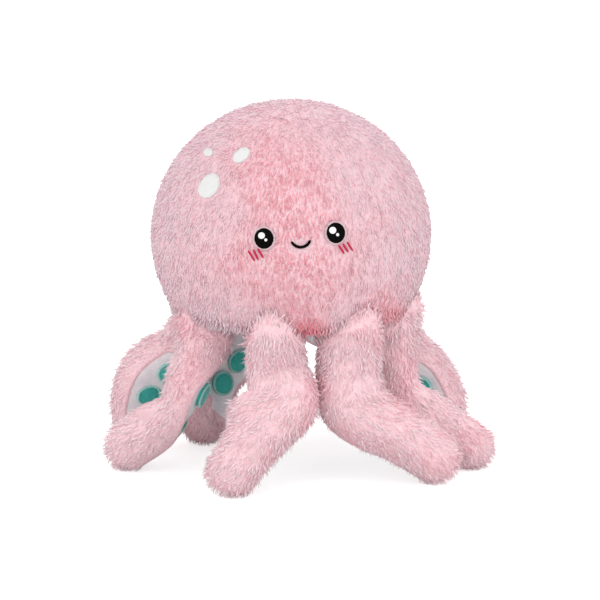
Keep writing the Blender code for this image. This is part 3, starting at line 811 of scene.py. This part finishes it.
    # no tip goes below the floor
    spot = addNode(tree, "ShaderNodeSeparateXYZ", {0: addNode(tree, "GeometryNodeInputPosition").outputs[0]})
    height = calc(tree, "MAXIMUM", spot.outputs[2], start["Floor"])
    lifted = addNode(tree, "ShaderNodeCombineXYZ", {0: spot.outputs[0], 1: spot.outputs[1], 2: height})
    moved = addNode(tree, "GeometryNodeSetPosition", {"Geometry": real, "Position": lifted.outputs[0]})
    smooth = addNode(tree, "GeometryNodeSetShadeSmooth", {"Geometry": moved.outputs[0]})
    dressed = {"Geometry": smooth.outputs[0], "Material": start["Material"]}
    addNode(tree, "NodeGroupOutput", {0: addNode(tree, "GeometryNodeSetMaterial", dressed).outputs[0]})
    return tree


pileTrees = {"head": makePileTree("headPile", True), "arm": makePileTree("armPile", False)}
pilePlans = {
    "head": {
        "Spacing": 0.0021, "Most": 220000.0, "Stand": 0.26, "Lean": 0.80, "Mess": 1.0, "Mess scale": 85.0,
        "Jitter": 0.20, "Shortest": 0.80, "Longest": 1.15, "Spin": 1.2, "Floor": 0.0004,
        "Clear margin": 0.0018, "Clear fade": 0.0060, "Clear share": 0.42,
    },
    "arm": {
        "Spacing": 0.0027, "Most": 260000.0, "Stand": 0.20, "Lean": 0.75, "Mess": 1.3, "Mess scale": 52.0,
        "Jitter": 0.26, "Shortest": 0.72, "Longest": 1.12, "Spin": 0.9, "Floor": 0.0004,
    },
}


# what the tree reads at each point of its host
def setHost(host, density, length, rose, lay):
    for label, values in (("density", density), ("pile", length), ("rose", rose)):
        addValues(host, label, values)
    ways = np.array([tuple(way) for way in lay], np.float32).ravel()
    host.data.attributes.new("lay", "FLOAT_VECTOR", "POINT").data.foreach_set("vector", ways)


def growPile(name, host, kind, seed, body, **more):
    values = {"Tufts": tuftSets[kind], "Material": pile[kind], "Seed": seed, **pilePlans[kind]}
    if "clear" in more:
        values["Keep clear"] = more["clear"]
    fur = runTree(name, host, pileTrees[kind], values)
    dropLayers(fur, "cell", "density", "pile", "lay")
    finishPiece(fur, body, "pink_pile")
    print(name, "has", len(fur.data.polygons), "faces")


# Head: a stuffed ball of pile fabric

headLook = {
    "backingInset": 0.0012,
    "fill": 0.85,
    "sectors": 6,
    "columns": 28,
    "crownHole": 0.00001,
    "fringeTop": 0.172,
    "fringe": 0.6,
    "fringeOut": 0.6,
    "fringeDown": 0.65,
}
baseLook = {
    "inset": 0.001,
    "edgeShare": 0.98,
    "thickness": 0.004,
    "seat": 0.0004,
    "sag": 0.0015,
    "segments": 72,
}

# deeper rose by place as seen from the front: middle (across, up), reach and strength; the first two patches,
# low on the head by the arms' roots, are painted shade, the others a rosier face and forehead everywhere else
# has the base tint
roseAndShadePatches = (
    (0.017, 0.130, 0.016, 0.75),
    (0.098, 0.146, 0.018, 0.45),
    (0.012, 0.190, 0.050, 0.50),
    (-0.014, 0.280, 0.042, 0.42),
    (-0.052, 0.196, 0.030, 0.26),
    (0.004, 0.240, 0.045, 0.30),
)
baseTint = 0.06
roseView = {"up": 0.974, "back": 0.225, "behind": 0.05}  # the front view looks down a little


def roseAndShadeAt(point):
    x = point.x - toyAxis.x
    z = roseView["up"] * point.z + roseView["back"] * (point.y - toyAxis.y)
    if point.y > toyAxis.y + roseView["behind"]:
        return baseTint
    tint = baseTint
    for across, height, reach, strength in roseAndShadePatches:
        tint += strength * math.exp(-((x - across) ** 2 + (z - height) ** 2) / reach**2)
    return min(1, tint)


def makeHead():
    outline = headOutline(headLook["backingInset"])
    rings = [(point.x, point.y) for point, _ in outline]
    rings.append((0, rings[-1][1]))
    place = Matrix.Translation(toyAxis)
    skin = turnedPiece("headStuffed", rings, headShape["segments"], place, backing["head"])
    finishPiece(skin, "head", "pink_pile", "head_cover", "head_filling")
    return outline


def makeHeadPile(outline, clear):
    look = headLook
    fringeHeight = look["fringeTop"] - headShape["baseHeight"]
    for sector in range(look["sectors"]):
        points, length, rose, lay = [], [], [], []
        for point, way in outline:
            fringe = smoothStep((look["fringeTop"] - point.y) / fringeHeight)
            for column in range(look["columns"] + 1):
                angle = 2 * math.pi * (sector + column / look["columns"]) / look["sectors"]
                level = Vector((math.cos(angle), math.sin(angle), 0))
                place = toyAxis + level * max(point.x, look["crownHole"]) + Vector((0, 0, point.y))
                points.append(place)
                length.append(1 + look["fringe"] * fringe)
                rose.append(roseAndShadeAt(place))
                down = (level * way.x + Vector((0, 0, way.y))).normalized()
                hanging = level * look["fringeOut"] + Vector((0, 0, -look["fringeDown"]))
                lay.append(down * (1 - fringe) + hanging * fringe)
        faces = gridFaces(len(outline), look["columns"] + 1, closed=False)
        host = meshPiece(f"headHost{sector}", points, faces, outward=False)
        setHost(host, [1.0] * len(points), length, rose, lay)
        growPile(f"headPile{sector}", host, "head", sector, "head", clear=clear)
        bpy.data.objects.remove(host)


def makeBaseCloth():
    look = baseLook
    radius = headShape["baseRadius"] - look["inset"]
    edge = radius * look["edgeShare"]
    height = headShape["baseHeight"]
    top = height + look["thickness"]
    outline = [(0, top), (edge, top), (radius, height + look["thickness"] / 2), (edge, height + look["seat"])]
    for share in (0.8, 0.6, 0.4, 0.2, 0.0):
        outline.append((radius * share, height + look["seat"] - look["sag"] * (1 - share**2)))
    cloth = turnedPiece("baseCloth", outline, look["segments"], Matrix.Translation(toyAxis), minky)
    finishPiece(cloth, "head", "white_minky", "base_panel")


# Face: embroidery over the pile

faceLook = {
    "eyeSpacing": 0.0706,
    "eyeHalfWidth": 0.0097,
    "eyeHalfHeight": 0.0107,
    "eyeDome": 0.0022,
    "eyeEdge": 0.0004,
    "eyeStitches": 84,
    "eyeStitch": (0.0020, 0.0007, 0.0008),
    "lightLift": 0.0001,
    "lightDome": 0.0006,
    "lightRoot": 0.0012,
    "proud": 0.0010,
    "depth": 0.0060,
    "mouthOffset": 0.0003,
    "mouthDrop": 0.0054,
    "mouthHalfWidth": 0.0090,
    "mouthDepth": 0.0061,
    "mouthLine": 0.0015,
    "mouthReach": 1.04,
    "mouthSteps": 32,
    "mouthTaper": (0.7, 8),
    "mouthClear": (-0.0091, 0.0100, 0.0045),
    "strokeWidth": 0.0012,
    "strokeLift": 0.0030,
    "strokeSteps": 12,
    "strokeTaper": (0.75, 6),
    "strokeClear": (0.0068, 0.0044),
    "strokeClearTurn": -10,
}
highlights = {
    "left": ((-0.0020, 0.0029, 0.0033), (0.0021, -0.0014, 0.0015)),
    "right": ((-0.0036, 0.0026, 0.0035), (0.0011, -0.0018, 0.0016)),
}
blushStrokes = (
    ((-0.0508, -0.0140), (-0.0443, -0.0251)), ((-0.0457, -0.0129), (-0.0406, -0.0241)),
    ((-0.0414, -0.0121), (-0.0356, -0.0220)), ((0.0372, -0.0099), (0.0432, -0.0191)),
    ((0.0414, -0.0083), (0.0473, -0.0176)), ((0.0458, -0.0066), (0.0522, -0.0165)),
)
blushMiddles = ((-0.0434, -0.0189), (0.0446, -0.0128))
spotPlans = {
    "big": ((-0.0970, 0.0580), (0.0160, 0.0141), 58.0),
    "middle": ((-0.0602, 0.0918), (0.0118, 0.0094), 48.0),
    "small": ((-0.1036, 0.1039), (0.0088, 0.0063), 137.0),
}
spotLook = {
    "sunk": 0.0012,
    "dome": 0.0008,
    "depth": 0.0040,
    "inset": 0.0014,
    "edgeInset": 0.0018,
    "edgeSunk": 0.0010,
    "stitch": (0.0022, 0.0008, 0.0006),
    "stitchStep": 0.00062,
    "clearDepth": 0.0045,
    "clearInset": 0.0040,
}
ovalSegments = 40
ovalDome = ((0.96, 0.35), (0.85, 0.62), (0.65, 0.84), (0.4, 0.95), (0.2, 1.0))  # shares of radius and dome


# an oval patch that follows the head, with a side wall down into the pile
def domedOval(name, middle, halfSizes, turnDeg, proud, dome, depth, material=None, grow=0.0):
    turn = math.radians(turnDeg)
    profile = [(1.0, -depth), (1.0, proud)]
    profile += [(share, proud + lift * dome) for share, lift in ovalDome]
    rings = []
    for share, height in profile:
        ring = []
        for angle in around(ovalSegments):
            along = (halfSizes[0] + grow) * share * math.cos(angle)
            beside = (halfSizes[1] + grow) * share * math.sin(angle)
            x = middle[0] + along * math.cos(turn) - beside * math.sin(turn)
            y = middle[1] + along * math.sin(turn) + beside * math.cos(turn)
            ring.append(onHead(x, y, height))
        rings.append(ring)
    points, faces = closeRings(rings, onHead(*middle, -depth), onHead(*middle, proud + dome))
    return meshPiece(name, points, faces, material)


# a plain oval that the pile keeps away from
def clearOval(middle, halfSizes, turnDeg, depth=faceLook["depth"], grow=0.0):
    return domedOval("clear", middle, halfSizes, turnDeg, 0, 0, depth, grow=grow)


# a slightly flat thread laid on the head along (across, up) places
def tubeAlong(name, centres, widths, raised, material, sides=10, flat=0.8):
    points = []
    for index, (place, width) in enumerate(zip(centres, widths)):
        before = Vector(centres[max(0, index - 1)])
        after = Vector(centres[min(len(centres) - 1, index + 1)])
        way = (after - before).normalized()
        for angle in around(sides):
            off = Vector((-way.y, way.x)) * width * math.cos(angle)
            points.append(onHead(place[0] + off.x, place[1] + off.y, raised + flat * width * math.sin(angle)))
    faces = gridFaces(len(centres), sides)
    faces.append(tuple(range(sides)))
    faces.append(tuple(len(points) - sides + step for step in reversed(range(sides))))
    return meshPiece(name, points, faces, material)


# widths of a line of thread that thins at both ends
def taperedWidths(width, steps, fall, power):
    return [width * (1 - fall * abs(2 * step / steps - 1) ** power) for step in range(steps + 1)]


# one short arched stitch along X, lying on z = 0
def makeThread(name, length, width, height, material):
    # shares of the length, the height and the thickness
    spans = ((-0.5, 0.0, 0.35), (-0.38, 0.55, 0.9), (-0.15, 0.95, 1.0))
    spans += tuple((-along, lift, swell) for along, lift, swell in reversed(spans))
    points = []
    for along, lift, swell in spans:
        for turn in (210, 330, 90):
            angle = math.radians(turn)
            lateral = width * 0.55 * swell * math.cos(angle)
            risen = height * lift + width * 0.5 * swell * math.sin(angle)
            points.append(Vector((along * length, lateral, risen)))
    faces = gridFaces(len(spans), 3)
    faces += [(0, 1, 2), (len(points) - 1, len(points) - 2, len(points) - 3)]
    return meshPiece(name, points, faces, material)


# stitches round an oval, each across the line
def makeStitchTree():
    tree, start = newTree("stitchRing", {
        "Object": ("Stitch",),
        "Material": ("Material",),
        "Int": ("Count", "Seed"),
        "Float": ("Half length", "Half width", "Smallest", "Largest"),
    })
    ring = addNode(tree, "GeometryNodeMeshCircle", {"Vertices": start["Count"], "Radius": 1.0}).outputs[0]
    place = addNode(tree, "GeometryNodeInputPosition").outputs[0]
    longWay, shortWay = start["Half length"], start["Half width"]
    spread = addNode(tree, "ShaderNodeCombineXYZ", {0: longWay, 1: shortWay, 2: 1.0}).outputs[0]
    narrow = addNode(tree, "ShaderNodeCombineXYZ", {0: shortWay, 1: longWay, 2: 1.0}).outputs[0]
    oval = {"Geometry": ring, "Position": vectorCalc(tree, "MULTIPLY", place, spread)}
    oval = addNode(tree, "GeometryNodeSetPosition", oval).outputs[0]
    across = {"Vector": vectorCalc(tree, "MULTIPLY", place, narrow)}
    turn = addNode(tree, "FunctionNodeAlignRotationToVector", across, axis="X", pivot_axis="Z").outputs[0]
    sizes = {2: start["Smallest"], 3: start["Largest"], 8: start["Seed"]}
    size = addNode(tree, "FunctionNodeRandomValue", sizes).outputs[1]
    stitch = addNode(tree, "GeometryNodeObjectInfo", {"Object": start["Stitch"], "As Instance": True})
    laid = {"Points": oval, "Instance": stitch.outputs["Geometry"], "Rotation": turn, "Scale": size}
    laid = addNode(tree, "GeometryNodeInstanceOnPoints", laid).outputs[0]
    real = addNode(tree, "GeometryNodeRealizeInstances", {"Geometry": laid}).outputs[0]
    dressed = addNode(tree, "GeometryNodeSetMaterial", {"Geometry": real, "Material": start["Material"]})
    addNode(tree, "NodeGroupOutput", {0: dressed.outputs[0]})
    return tree


stitchTree = makeStitchTree()


def stitchRing(name, halfLength, halfWidth, count, stitchSize, material):
    stitch = makeThread(f"{name}Stitch", *stitchSize, material)
    scene.collection.objects.unlink(stitch)
    host = meshPiece(f"{name}Host", [(0, 0, 0)], [])
    values = {
        "Stitch": stitch, "Material": material, "Count": count, "Seed": 1,
        "Half length": halfLength, "Half width": halfWidth, "Smallest": 0.9, "Largest": 1.12,
    }
    ring = runTree(name, host, stitchTree, values)
    bpy.data.objects.remove(host)
    bpy.data.objects.remove(stitch)
    return ring


def layOnHead(piece, middle, turnDeg, raised):
    turn = math.radians(turnDeg)
    for vertex in piece.data.vertices:
        x, y, z = vertex.co
        across = middle[0] + x * math.cos(turn) - y * math.sin(turn)
        up = middle[1] + x * math.sin(turn) + y * math.cos(turn)
        vertex.co = onHead(across, up, raised + z)


def makeEye(side, middle):
    look = faceLook
    sizes = (look["eyeHalfHeight"], look["eyeHalfWidth"])
    turn = faceShape["tilt"] + 90
    heights = (look["proud"], look["eyeDome"], look["depth"])
    eye = domedOval(f"eye_{side}_thread", middle, sizes, turn, *heights, black)
    finishPiece(eye, "head", "black_embroidery", f"eye_{side}")
    edgeSizes = [size + look["eyeEdge"] for size in sizes]
    edge = stitchRing(f"eye_{side}_edge", *edgeSizes, look["eyeStitches"], look["eyeStitch"], rosy)
    layOnHead(edge, middle, turn, look["proud"])
    finishPiece(edge, "head", "pink_pile")
    for number, (across, up, radius) in enumerate(highlights[side], 1):
        spot = (middle[0] + across, middle[1] + up)
        share = 1 - (math.hypot(across, up) / look["eyeHalfWidth"]) ** 2
        raised = look["proud"] + look["eyeDome"] * max(0.5, share**0.5)
        heights = (raised + look["lightLift"], look["lightDome"], look["lightRoot"] - raised)
        light = domedOval(f"eye_{side}_light_{number}", spot, (radius, radius), 0, *heights, white)
        finishPiece(light, "head", "white_satin")
    return clearOval(middle, sizes, turn)


def makeMouth():
    look = faceLook
    halfWidth, depth, steps = look["mouthHalfWidth"], look["mouthDepth"], look["mouthSteps"]
    arcRadius = (halfWidth**2 + depth**2) / (2 * depth)
    halfAngle = math.asin(halfWidth / arcRadius)
    middleUp = arcRadius - look["mouthDrop"] - depth
    places = []
    for step in range(steps + 1):
        angle = halfAngle * (2 * step / steps - 1) * look["mouthReach"]
        across = look["mouthOffset"] + arcRadius * math.sin(angle)
        places.append(tilted(across, middleUp - arcRadius * math.cos(angle)))
    widths = taperedWidths(look["mouthLine"], steps, *look["mouthTaper"])
    smile = tubeAlong("mouth_thread", places, widths, look["proud"], black)
    finishPiece(smile, "head", "black_embroidery", "mouth")
    up, *clearSizes = look["mouthClear"]
    return clearOval(tilted(look["mouthOffset"], up), clearSizes, faceShape["tilt"])


def makeBlush():
    look = faceLook
    steps = look["strokeSteps"]
    widths = taperedWidths(look["strokeWidth"], steps, *look["strokeTaper"])
    for number, (start, end) in enumerate(blushStrokes, 1):
        places = [tuple(Vector(start).lerp(Vector(end), step / steps)) for step in range(steps + 1)]
        stroke = tubeAlong(f"blush_{number}", places, widths, look["strokeLift"], crimson)
        finishPiece(stroke, "head", "pink_pile")
    return [clearOval(middle, look["strokeClear"], look["strokeClearTurn"]) for middle in blushMiddles]


def makeSpot(key, middle, sizes, turn):
    look = spotLook
    heights = (-look["sunk"], look["dome"], look["depth"])
    spot = domedOval(f"spot_{key}_satin", middle, sizes, turn, *heights, satin, grow=-look["inset"])
    finishPiece(spot, "head", "white_satin", f"head_spot_{key}")
    count = int(math.pi * sum(sizes) / look["stitchStep"])
    edgeSizes = [size - look["edgeInset"] for size in sizes]
    edge = stitchRing(f"spot_{key}_edge", *edgeSizes, count, look["stitch"], white)
    layOnHead(edge, middle, turn, -look["edgeSunk"])
    finishPiece(edge, "head", "white_satin")
    return clearOval(middle, sizes, turn, look["clearDepth"], -look["clearInset"])


def makeFace():
    halfSpacing = faceLook["eyeSpacing"] / 2
    eyes = {"left": -halfSpacing, "right": halfSpacing}
    clearParts = [makeEye(side, tilted(across, 0)) for side, across in eyes.items()]
    clearParts.append(makeMouth())
    clearParts += makeBlush()
    clearParts += [makeSpot(key, *plan) for key, plan in spotPlans.items()]
    return joinPieces("keepClear", clearParts)


# Arms: stuffed tubes of the same pile, with white undersides

armLook = {
    "backingInset": 0.0015,
    "fill": 0.8,
    "bodyRows": 40,
    "domeRows": 7,
    "sectionSteps": 3,
    "backSteps": 8,
    "endSlope": 0.8,
    "rootFringe": 0.10,
    "tipLength": 0.85,
    "upShare": 0.02,
    "upLay": 0.9,
    "sideLay": 0.25,
    "edgeLay": 0.5,
    "edgeShort": 0.65,
    "edgeColumns": 4,
    "panelDip": 0.0030,
    "tint": 0.05,
    "headTint": 0.6,
    "rootShare": 0.25,
    "shoulderWay": (0.7, 0.72),
    "shoulderCurve": 0.8,
}
shoulders = {
    "front_left": 0.038,
    "front_right": 0.038,
    "side_right": 0.033,
    "rear_right": 0.014,
    "back_right": 0.016,
    "back_left": 0.020,
    "rear_left": 0.008,
    "side_left": 0.022,
}
# where an arm is fuller or slimmer: the way that side faces, how far out, share of the length, reach
fullness = {
    "front_left": (
        ((-1, 0, 0), 0.015, 0.55, 0.15),
        ((-1, 0, 0), -0.005, 0.12, 0.14),
        ((1, 0, 0), 0.004, 0.42, 0.16),
    ),
    "front_right": (((-1, 0, 0), 0.004, 0.40, 0.16),),
    "side_right": (((1, 0, 0), -0.012, 0.34, 0.24),),
    "side_left": (((-1, 0, 0), -0.009, 0.26, 0.22), ((-0.7, 0, 0.7), -0.014, 0.52, 0.16)),
}
panelLook = {
    "halfShare": 0.84,
    "edgeDip": 0.0035,
    "puff": 0.0016,
    "dimple": 0.0007,
    "cloth": 0.0012,
    "edgeFall": 12,
    "dimpleFall": 4,
    "columns": 22,
    "rows": 60,
    "endRows": 3,
}
suckerLook = {
    "felt": 0.0022,
    "crown": 0.0011,
    "root": 0.0012,
    # shares of the radius, the felt and the crown, from the middle out
    "profile": ((0.0, 1, 1), (0.3, 1, 0.92), (0.55, 1, 0.65), (0.75, 1, 0.2), (0.88, 0.7, 0), (0.97, 0.3, 0)),
    "rootReach": 0.98,
    "segments": 40,
    "rimWidth": 0.0029,
    "rimHeight": 0.0015,
    "rimInset": 0.35,
    "rimLift": 0.62,
    "stitchWidth": 0.0009,
    "stitchStep": 0.00072,
}


# a round curve through the section's corners, then the flat underside back to its start
def smoothShares():
    knots = [Vector(corner) for corner in sectionShares]
    steps, backSteps, endSlope = (armLook[label] for label in ("sectionSteps", "backSteps", "endSlope"))
    curve = []
    for index, (start, end) in enumerate(zip(knots, knots[1:])):
        before = (end - knots[index - 1]) / 2 if index else (end - start) * endSlope
        after = (knots[index + 2] - start) / 2 if index + 2 < len(knots) else (end - start) * endSlope
        curve += [spanPoint(start, end, before, after, step / steps) for step in range(steps)]
    curve.append(knots[-1])
    back = len(curve)
    curve += [knots[-1].lerp(knots[0], step / backSteps) for step in range(1, backSteps)]
    return [tuple(point) for point in curve], back


def hasPanel(share, toward):
    return toward == 0 and armShape["panelStart"] <= share <= armShape["panelEnd"]


def makeArmSkin(key, route):
    look = armLook
    shares, back = smoothShares()
    inset, domes = look["backingInset"], look["domeRows"]
    # each row's share of the length, which end it rounds, and how far round
    marks = [(0.0, -1, math.pi / 2 * (1 - step / domes)) for step in range(1, domes)]
    marks += [(step / look["bodyRows"], 0, 0.0) for step in range(look["bodyRows"] + 1)]
    marks += [(1.0, 1, math.pi / 2 * step / domes) for step in range(1, domes)]
    rows = [route.ring(share, inset, shares, dome, toward) for share, toward, dome in marks]
    # the shoulder swells up against the head and thins into the arm; the underside sinks below its panel
    out, up = look["shoulderWay"]
    upOut = (route.outward * out + Vector((0, 0, up))).normalized()
    for row, (share, toward, _) in zip(rows, marks):
        swell = shoulders[key] * (1 - smoothStep(share / look["rootShare"])) * (toward < 1)
        centre, _, _, under, _, _ = route.section(share)
        for column, point in enumerate(row):
            outside = (point - centre).normalized()
            row[column] = point + upOut * swell * max(0, outside.dot(upOut)) ** look["shoulderCurve"]
            for toSide, amount, middle, reach in fullness.get(key, ()):
                facing = max(0, (point - centre).normalized().dot(Vector(toSide)))
                row[column] += Vector(toSide) * amount * facing * math.exp(-(((share - middle) / reach) ** 2))
            if column >= back and hasPanel(share, toward):
                row[column] -= under * look["panelDip"]
    poles = [route.pole(toward, inset) for toward in (-1, 1)]
    points, faces = closeRings(rows, *(pole for pole, _ in poles))
    skin = meshPiece(f"arm_{key}_stuffed", points, faces, backing["arm"])
    density, length, rose, lay = [], [], [], []
    for row, (share, toward, _) in zip(rows, marks):
        _, way, side, _, _, _ = route.section(share)
        inPanel = hasPanel(share, toward)
        atRoot = 1 - smoothStep(share / look["rootShare"])
        rising = 1 if toward < 0 else 1 - smoothStep(share / look["upShare"])
        full = look["tipLength"] if toward > 0 else 1 + look["rootFringe"] * atRoot
        for column, (across, _) in enumerate(shares):
            isUnder = column >= back or column in (0, back - 1)
            edging = 0
            if inPanel and column < back:
                edging = max(0, 1 - min(column, back - 1 - column) / look["edgeColumns"])
            density.append(0.0 if isUnder and inPanel else 1.0)
            length.append(full * (1 - look["edgeShort"] * edging))
            # near the head, the arm takes on the head's rose patches, with their painted shade
            rose.append(look["tint"] + (roseAndShadeAt(row[column]) - baseTint) * look["headTint"])
            sideways = side * (look["sideLay"] * across + look["edgeLay"] * edging * math.copysign(1, across))
            lay.append((way + sideways) * (1 - rising) + Vector((0, 0, look["upLay"])) * rising)
    for _, way in poles:
        density.append(1.0)
        length.append(look["tipLength"])
        rose.append(look["tint"])
        lay.append(way)
    setHost(skin, density, length, rose, lay)
    return skin


def makeArm(key, route, seed):
    body = f"arm_{key}"
    skin = makeArmSkin(key, route)
    growPile(f"{body}_pile", skin, "arm", seed, body)
    dropLayers(skin, "density", "pile", "lay", "rose")
    finishPiece(skin, body, "pink_pile", f"{body}_cover", f"{body}_filling")
    makePanel(key, route)
    makeSuckers(key, route)


def panelPlace(route, share, across, raised):
    centre, _, side, under, width, thickness = route.section(share)
    level = sectionShares[0][1] * thickness - armShape["panelInset"] + raised
    reach = panelLook["halfShare"] * (width - armLook["backingInset"])
    return centre + side * across * reach + under * level


# the white underside: a crowned strip whose edges turn down into the pile
def makePanel(key, route):
    plan = panelLook
    rows, columns = plan["rows"], plan["columns"]
    points = []
    chance = np.random.default_rng(3)
    for row in range(rows + 1):
        share = armShape["panelStart"] + (armShape["panelEnd"] - armShape["panelStart"]) * row / rows
        fade = 1 - max(0, 1 - row / plan["endRows"], 1 - (rows - row) / plan["endRows"])
        for column in range(columns + 1):
            across = 2 * column / columns - 1
            edge = max(abs(across) ** plan["edgeFall"], 1 - fade)
            raised = plan["puff"] * (1 - across**2) - plan["edgeDip"] * edge
            raised += plan["dimple"] * chance.uniform(-0.5, 0.5) * (1 - abs(across) ** plan["dimpleFall"])
            points.append(panelPlace(route, share, across, raised))
    faces = gridFaces(rows + 1, columns + 1, closed=False)
    panel = meshPiece(f"arm_{key}_minky", points, faces, minky, outward=False)
    middle = panel.data.polygons[len(faces) // 2]
    if middle.normal.dot(route.section(0.55)[3]) < 0:
        panel.data.flip_normals()
    wall = panel.modifiers.new("cloth", "SOLIDIFY")
    wall.thickness = plan["cloth"]
    wall.offset = -1
    finishPiece(panel, f"arm_{key}", "white_minky", f"arm_{key}_underside")


def makeSuckers(key, route):
    look = suckerLook
    felt, crown = look["felt"], look["crown"]
    for number, (share, radius) in enumerate(armShape["sucker"], 1):
        node = f"arm_{key}_sucker_{number}"
        low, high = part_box(node)
        _, along, side, up, _, _ = route.section(share)
        lowest = min(Vector(vertex.co).dot(up) for vertex in frame["nodes"][node].data.vertices)
        centre = (low + high) / 2
        place = Matrix.Identity(4)
        for column, axis in enumerate((along, side, up, centre + up * (lowest - centre.dot(up)))):
            place.col[column][:3] = axis
        outline = [(radius * reach, felt * low + crown * high) for reach, low, high in look["profile"]]
        outline += [(radius * look["rootReach"], -look["root"]), (0, -look["root"])]
        disc = turnedPiece(f"{node}_felt", outline, look["segments"], place, teal)
        finishPiece(disc, f"arm_{key}", "teal_felt", node)
        reach = radius - look["rimWidth"] * look["rimInset"]
        count = int(2 * math.pi * reach / look["stitchStep"])
        stitch = (look["rimWidth"], look["stitchWidth"], look["rimHeight"])
        rim = stitchRing(f"{node}_rim", reach, reach, count, stitch, mint)
        rim.data.transform(place @ Matrix.Translation((0, 0, felt * look["rimLift"])))
        finishPiece(rim, f"arm_{key}", "teal_felt")


clear = makeFace()
makeHeadPile(makeHead(), clear)
bpy.data.objects.remove(clear)
makeBaseCloth()
print("head and face made")

for seed, (key, route) in enumerate(armRoutes.items(), 20):
    makeArm(key, route, seed)
for collection in tuftSets.values():
    for shape in list(collection.objects):
        bpy.data.objects.remove(shape)
    bpy.data.collections.remove(collection)
print("arms made")


# Floor, light and camera

stageLook = {"floorSize": 12.0, "floorWhite": 0.80, "cameraLift": 0.60, "skyStrength": 0.95}
skyTint = (1.0, 0.99, 0.985, 1.0)


# 1 for rays that show the background, straight or by way of a shiny piece
def seenDirectly(tree):
    rays = addNode(tree, "ShaderNodeLightPath")
    seen = calc(tree, "MAXIMUM", rays.outputs["Is Camera Ray"], rays.outputs["Is Glossy Ray"])
    return calc(tree, "MAXIMUM", seen, rays.outputs["Is Transmission Ray"])


def makeFloor():
    size = stageLook["floorSize"]
    corners = [(-size, -size, 0), (size, -size, 0), (size, size, 0), (-size, size, 0)]
    material = bpy.data.materials.new("paleFloor")
    material.use_nodes = True
    tree = material.node_tree
    tree.nodes.clear()
    lift = calc(tree, "MULTIPLY", seenDirectly(tree), stageLook["cameraLift"])
    lift = addNode(tree, "ShaderNodeEmission", {"Strength": lift})
    cloth = addNode(tree, "ShaderNodeBsdfDiffuse", {"Color": (*[stageLook["floorWhite"]] * 3, 1.0)})
    both = addNode(tree, "ShaderNodeAddShader", {0: cloth.outputs[0], 1: lift.outputs[0]})
    addNode(tree, "ShaderNodeOutputMaterial", {"Surface": both.outputs[0]})
    meshPiece("floor", corners, [(0, 1, 2, 3)], material, outward=False)


def makeWorld():
    world = bpy.data.worlds.new("studio")
    scene.world = world
    world.use_nodes = True
    tree = world.node_tree
    tree.nodes.clear()
    soft = addNode(tree, "ShaderNodeBackground", {"Color": skyTint, "Strength": stageLook["skyStrength"]})
    bright = addNode(tree, "ShaderNodeBackground", {"Color": (1, 1, 1, 1), "Strength": 1.0})
    both = {0: seenDirectly(tree), 1: soft.outputs[0], 2: bright.outputs[0]}
    addNode(tree, "ShaderNodeOutputWorld", {"Surface": addNode(tree, "ShaderNodeMixShader", both).outputs[0]})


lamps = {
    "key": {"place": (-1.2, -2.0, 1.1), "aim": (0, 0, 0.16), "size": 1.8, "power": 9.0},
    "fill": {"place": (1.5, -1.5, 0.9), "aim": (0, 0, 0.16), "size": 1.8, "power": 7.0},
    "back": {"place": (0.4, 1.6, 1.6), "aim": (0, 0, 0.2), "size": 1.4, "power": 8.0},
}


def setUp(name, data, place, way):
    made = bpy.data.objects.new(name, data)
    scene.collection.objects.link(made)
    made.location = place
    made.rotation_euler = way.to_track_quat("-Z", "Y").to_euler()
    return made


def makeLamps():
    for name, plan in lamps.items():
        light = bpy.data.lights.new(name, "AREA")
        light.energy = plan["power"]
        light.shape = "DISK"
        light.size = plan["size"]
        setUp(name, light, plan["place"], Vector(plan["aim"]) - Vector(plan["place"]))


cameraPlan = {
    "target": (-0.00021, 0.00165, 0.1597),
    "elevation": 13.0,
    "distance": 6.0,
    "lens": 360.0,
    "sensor": 36.0,
    "farthest": 40.0,
}


def makeCamera():
    data = bpy.data.cameras.new("camera")
    data.lens = cameraPlan["lens"]
    data.sensor_width = cameraPlan["sensor"]
    data.clip_end = cameraPlan["farthest"]
    elevation = math.radians(cameraPlan["elevation"])
    away = Vector((0, -math.cos(elevation), math.sin(elevation)))
    place = Vector(cameraPlan["target"]) + away * cameraPlan["distance"]
    scene.camera = setUp("camera", data, place, -away)


makeFloor()
makeWorld()
makeLamps()
makeCamera()
scene.view_settings.view_transform = "Standard"
print("floor, light and camera set")
